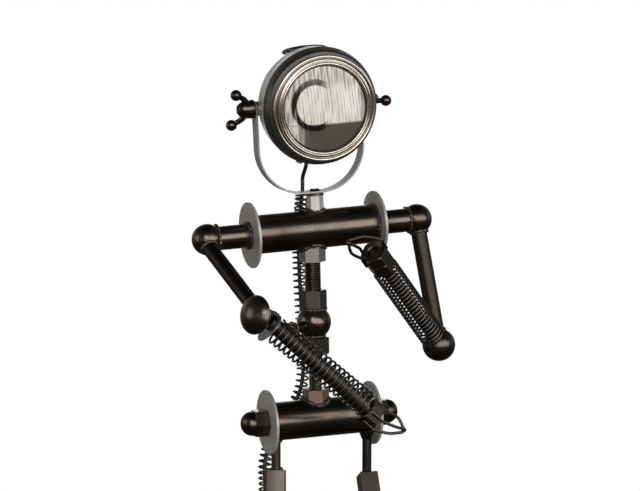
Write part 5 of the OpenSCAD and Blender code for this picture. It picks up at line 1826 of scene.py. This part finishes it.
@dataclass(frozen=True)
class Cable:
    """The lead in its spring sleeve, and the free cord with its coil, from the switch to the plug."""

    s: CableSizes
    b: Skeleton

    def build(self) -> None:
        """Builds the cords first, then the sleeve and the leads."""
        self._cord()
        self._coil()
        self._sleeve()
        self._leads()

    @staticmethod
    def _length(path: Sequence[Vector]) -> float:
        """Length of a path in metres."""
        return sum((b - a).length for a, b in zip(path, path[1:])) * MM

    def _cord(self) -> None:
        """Builds the cord from the leg to the switch."""
        path = smooth_path(self.s.cord_route, 8)
        mesh = Mesh("floor_cord").tube(path, self.s.cable_d / 2, sides=16)
        piece = mesh.build(Slot.RUBBER, ["cord"], sharp=WIRE_EDGE)

    def _coil(self) -> None:
        """Builds the cord from the switch through its coil, which winds in and out again, to the plug."""
        s = self.s
        step, low = s.cable_d + s.coil_gap, s.cable_d / 2 + s.floor_gap
        half = s.coil_steps * s.coil_turns
        points = []
        for i in range(2 * half + 1):
            f = radians(90 - 360 / s.coil_steps * i)
            radius = s.coil_r - step * min(i, 2 * half - i) / s.coil_steps
            up = max(0.0, min(1.0, (i - half + s.coil_climb / 2) / s.coil_climb))
            points.append((s.coil_at[0] + radius * cos(f), s.coil_at[1] + radius * sin(f), low + up * step))
        end = Vector((s.switch_at[0] + s.switch_l / 2, s.switch_at[1], s.switch_h / 2))
        plug = Vector((s.coil_at[0] + s.plug_reach, s.coil_at[1] + s.coil_r, s.plug_h / 2 + s.floor_gap))
        first = [end, end + Vector((s.cable_d, 0, 0)), end + Vector(s.coil_lead)]
        last = [plug - Vector((s.plug_lead, 0, 0)), plug - Vector((s.cable_d, 0, 0)), plug]
        path = smooth_path([*first, *points, *last], 2)
        mesh = Mesh("cord_hank").tube(path, s.cable_d / 2, sides=12)
        piece = mesh.build(Slot.RUBBER, ["cord_coil"], sharp=WIRE_EDGE)

    def _sleeve(self) -> None:
        """Winds the spring sleeve round the cable down the back, with its curls at three pitches."""
        s = self.s
        path = even_path(smooth_path(s.sleeve_route, 24), s.sleeve_points)
        step, turn, line = self._length(path) / MM / s.sleeve_points, 0.0, []
        for point, direction, side in carried_frames(path):
            line.append(point + s.sleeve_r * (cos(turn) * side + sin(turn) * direction.cross(side)))
            turn += tau * step / next(pitch for height, pitch in s.sleeve_pitch if point.z > height)
        mesh = Mesh("spring_sleeve").tube(line, s.sleeve_wire / 2, sides=7)
        mesh.build(Slot.SPRING, ["cable_sleeve"], sharp=WIRE_EDGE)

    def _leads(self) -> None:
        """Builds the lead in the sleeve, the sleeve's top, and the leads at the neck and at the head."""
        s = self.s
        self._lead("sleeved_lead", "lamp_lead", Body.ROBOT, smooth_path(s.sleeve_route, 8), True)
        lower = self._lead("lead_at_neck", "yoke_lead", Body.ROBOT, smooth_path(s.yoke_route, 8), False)
        self._blend(lower, Body.ROBOT, Body.YOKE, s.yoke_route[0], s.yoke_route[-1])
        low, mid = Vector(s.yoke_route[0]), Vector(s.yoke_route[1])
        turns = []
        for i in range(s.crown_points):
            f = i * s.crown_turn + s.crown_phase
            turns.append(low + (mid - low) * (s.crown_start + i / s.crown_span) + polar(s.sleeve_r, f))
        crown = Mesh("sleeve_crown").tube(turns, s.sleeve_wire / 2, sides=9).build(
            Slot.SPRING, sharp=WIRE_EDGE, ride=False)
        self._blend(crown, Body.ROBOT, Body.YOKE, s.yoke_route[0], s.yoke_route[1])
        head = [*(Vector(p) for p in s.head_start), *(self.b.head @ Vector(p) for p in s.head_points)]
        upper = self._lead("lead_at_head", "head_lead", Body.HEAD, smooth_path(head, 10), False)
        self._blend(upper, Body.YOKE, Body.HEAD, head[0], head[-1])

    def _lead(self, name: str, node: str, body: Body, path: Sequence[Vector], ride: bool) -> Object:
        """Builds one stretch of the lead."""
        return Mesh(name).tube(path, self.s.cable_d / 2, sides=12).build(
            Slot.RUBBER, [node], sharp=WIRE_EDGE, ride=ride, body=body)

    @staticmethod
    def _blend(piece: Object, first: Body, second: Body, start: Point, end: Point) -> None:
        """Bakes a piece's placement into its points; it isn't bent."""
        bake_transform(piece)


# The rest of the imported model
def finish_nodes() -> None:
    """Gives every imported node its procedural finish."""
    slots = {part["node"]: part["material_slot"] for part in frame["record"]["subparts"]}
    for name, node in frame["nodes"].items():
        finish = BLOCK if name == "spine_block" else PIPE if name.startswith("forearm_rod") else None
        node.data.materials.clear()
        node.data.materials.append(MATERIALS.get(Slot(slots[name]), finish))
        node.data.shade_smooth()
        node.data.set_sharp_from_angle(angle=radians(NODE_EDGE))


# Studio
@dataclass(frozen=True)
class Viewpoint:
    """Camera of the photograph.

    Attributes:
        azimuth: Turn to the robot's right, in degrees.
        elevation: Height over the horizon, in degrees.
        distance: Distance to the target, in metres.
        target: Point in the middle of the picture, in metres.
        lens: Focal length for the sensor.
        sensor: Width of the sensor.
    """

    azimuth: float = -20.0
    elevation: float = 7.0
    distance: float = 4.6
    target: Spot = (0.00206, 0.0952, 1.1926)
    lens: float = 143.75
    sensor: float = 36.0


@dataclass(frozen=True)
class Panel:
    """One soft light: its name, place and size in metres, and power in watts."""

    name: str
    place: Spot
    size: float
    power: float


@dataclass(frozen=True)
class Room:
    """The room that the lamp reflects, and its floor.

    Attributes:
        window: Sine of the elevation and colour, from the floor up, towards the window.
        walls: The same for all other sides.
        window_turn: Turn of the window from the camera, in degrees.
        window_edge: Cosines between which the window fades in.
        strength: Brightness of the room in reflections and on the lamp.
        floor_r: Radius of the floor.
        floor_steps: Points round the floor.
        floor_tones: Dark and pale tone of the floor.
        floor_dull: Colour of the floor in reflections.
        floor_glow: How much the floor glows to the camera, which keeps it pale in soft light.
        aim: Point that the panels look at.
        panels: The soft lights.
    """

    window: tuple[tuple[float, Colour], ...] = (
        (-1.0, (0.01, 0.008, 0.006)), (-0.5, (0.015, 0.012, 0.01)), (-0.3, (0.035, 0.028, 0.023)),
        (-0.1, (0.075, 0.063, 0.052)), (0.0, (0.8, 0.77, 0.73)), (0.08, (1.0, 0.98, 0.95)),
        (0.44, (0.9, 0.88, 0.86)), (0.64, (0.015, 0.015, 0.015)), (1.0, (0.004, 0.004, 0.004)))
    walls: tuple[tuple[float, Colour], ...] = (
        (-1.0, (0.006, 0.005, 0.004)), (-0.4, (0.012, 0.01, 0.008)), (-0.05, (0.05, 0.046, 0.042)),
        (0.12, (0.13, 0.126, 0.12)), (0.4, (0.05, 0.05, 0.05)), (1.0, (0.004, 0.004, 0.004)))
    window_turn: float = 26.0
    window_edge: Pair = (0.6, 0.9)
    strength: float = 3.7
    floor_r: float = 2.4
    floor_steps: int = 96
    floor_tones: tuple[Colour, Colour] = ((0.84, 0.84, 0.84), (0.88, 0.88, 0.88))
    floor_dull: Colour = (0.09, 0.07, 0.055)
    floor_glow: float = 0.44
    aim: Spot = (0.0, 0.0, 1.1)
    panels: tuple[Panel, ...] = (
        Panel("key", (-1.7, -2.8, 2.7), 1.1, 15.0), Panel("fill", (2.7, -2.0, 1.9), 0.9, 6.0),
        Panel("side", (-3.2, 0.6, 1.7), 1.6, 9.0), Panel("back", (0.9, 3.2, 1.5), 1.8, 16.0))


@dataclass(frozen=True)
class Studio:
    """Floor, backdrop, lights and camera."""

    view: Viewpoint
    room: Room

    def build(self) -> None:
        """Sets up everything round the lamp."""
        scene = bpy.context.scene
        scene.view_settings.view_transform = "Standard"
        self._camera(scene)
        self._floor()
        self._world(scene)
        self._lights()

    def _camera(self, scene: Scene) -> None:
        """Sets the photograph's camera.

        Args:
            scene: The scene.
        """
        v = self.view
        az, el = radians(v.azimuth), radians(v.elevation)
        back = Vector((sin(az) * cos(el), -cos(az) * cos(el), sin(el)))
        data = bpy.data.cameras.new("camera")
        data.lens = v.lens
        data.sensor_width = v.sensor
        camera = bpy.data.objects.new("camera", data)
        camera.location = Vector(v.target) + back * v.distance
        camera.rotation_euler = back.to_track_quat("Z", "Y").to_euler()
        scene.collection.objects.link(camera)
        scene.camera = camera

    def _floor(self) -> None:
        """Lays a round floor that is pale to the camera and dark in reflections."""
        room = self.room
        data = bpy.data.meshes.new("floor")
        data.from_pydata([polar(room.floor_r, f) for f in angles(room.floor_steps)], [],
                         [tuple(range(room.floor_steps))])
        floor = bpy.data.objects.new("floor", data)
        bpy.context.scene.collection.objects.link(floor)
        material = bpy.data.materials.new("floor")
        material.use_nodes = True
        graph = Graph(material.node_tree)
        speckle = graph.node("ShaderNodeTexNoise", {"Scale": 4.0}).outputs["Fac"]
        tone = graph.ramp(speckle, tuple(zip((0.0, 1.0), room.floor_tones)))
        rays = graph.node("ShaderNodeLightPath").outputs
        graph.fill(material.node_tree.nodes["Principled BSDF"], {
            "Base Color": graph.mix(rays["Is Glossy Ray"], tone, room.floor_dull),
            "Emission Strength": graph.maths("MULTIPLY", rays["Is Camera Ray"], room.floor_glow),
            "Emission Color": (0.92, 0.92, 0.92), "Roughness": 0.7})
        data.materials.append(material)

    def _world(self, scene: Scene) -> None:
        """Makes a room that only the lamp sees, and white for the camera and through the glass.

        Args:
            scene: The scene.
        """
        world = bpy.data.worlds.new("studio")
        scene.world = world
        world.use_nodes = True
        world.node_tree.nodes.clear()
        graph = Graph(world.node_tree)
        place = graph.node("ShaderNodeTexCoord").outputs["Generated"]
        height = graph.node("ShaderNodeSeparateXYZ", {"Vector": place}).outputs["Z"]
        turn = radians(self.view.azimuth + self.room.window_turn)
        facing = graph.along(place, Vector((sin(turn), -cos(turn), 0.0)))
        around = graph.mix(graph.step(facing, self.room.window_edge), self._graded(graph, height, self.room.walls),
                           self._graded(graph, height, self.room.window))
        room = graph.node("ShaderNodeBackground", {"Color": around, "Strength": self.room.strength})
        seen = graph.node("ShaderNodeBackground", {"Color": (1.0, 1.0, 1.0)})
        rays = graph.node("ShaderNodeLightPath").outputs
        white = graph.maths("MAXIMUM", rays["Is Camera Ray"], rays["Is Transmission Ray"])
        mixed = graph.node("ShaderNodeMixShader", {
            "Fac": white, 1: room.outputs["Background"], 2: seen.outputs["Background"]})
        graph.node("ShaderNodeOutputWorld", {"Surface": mixed.outputs["Shader"]})

    @staticmethod
    def _graded(graph: Graph, height: Socket, stops: Sequence[tuple[float, Colour]]) -> Socket:
        """Grades the room's brightness over the sine of the elevation."""
        return graph.ramp(graph.span(height, (-1.0, 1.0)), [((sine + 1) / 2, colour) for sine, colour in stops])

    def _lights(self) -> None:
        """Hangs the soft panels."""
        for panel in self.room.panels:
            data = bpy.data.lights.new(panel.name, "AREA")
            data.energy = panel.power
            data.size = panel.size
            light = bpy.data.objects.new(panel.name, data)
            light.location = panel.place
            light.rotation_euler = (Vector(panel.place) - Vector(self.room.aim)).to_track_quat("Z", "Y").to_euler()
            bpy.context.scene.collection.objects.link(light)


def main() -> None:
    """Builds the studio and dresses the lamp."""
    Studio(Viewpoint(), Room()).build()
    finish_nodes()
    Cable(CableSizes(), BONES).build()
    Headlamp(HeadlampSizes(), BONES.head).build()
    Yoke(YokeSizes(), BONES.yoke).build()
    Torso(TorsoSizes(), BONES).build()
    Arms(ArmSizes(), BONES).build()
    Legs(LegSizes(), BONES).build()


if __name__ == "__main__":
    main()
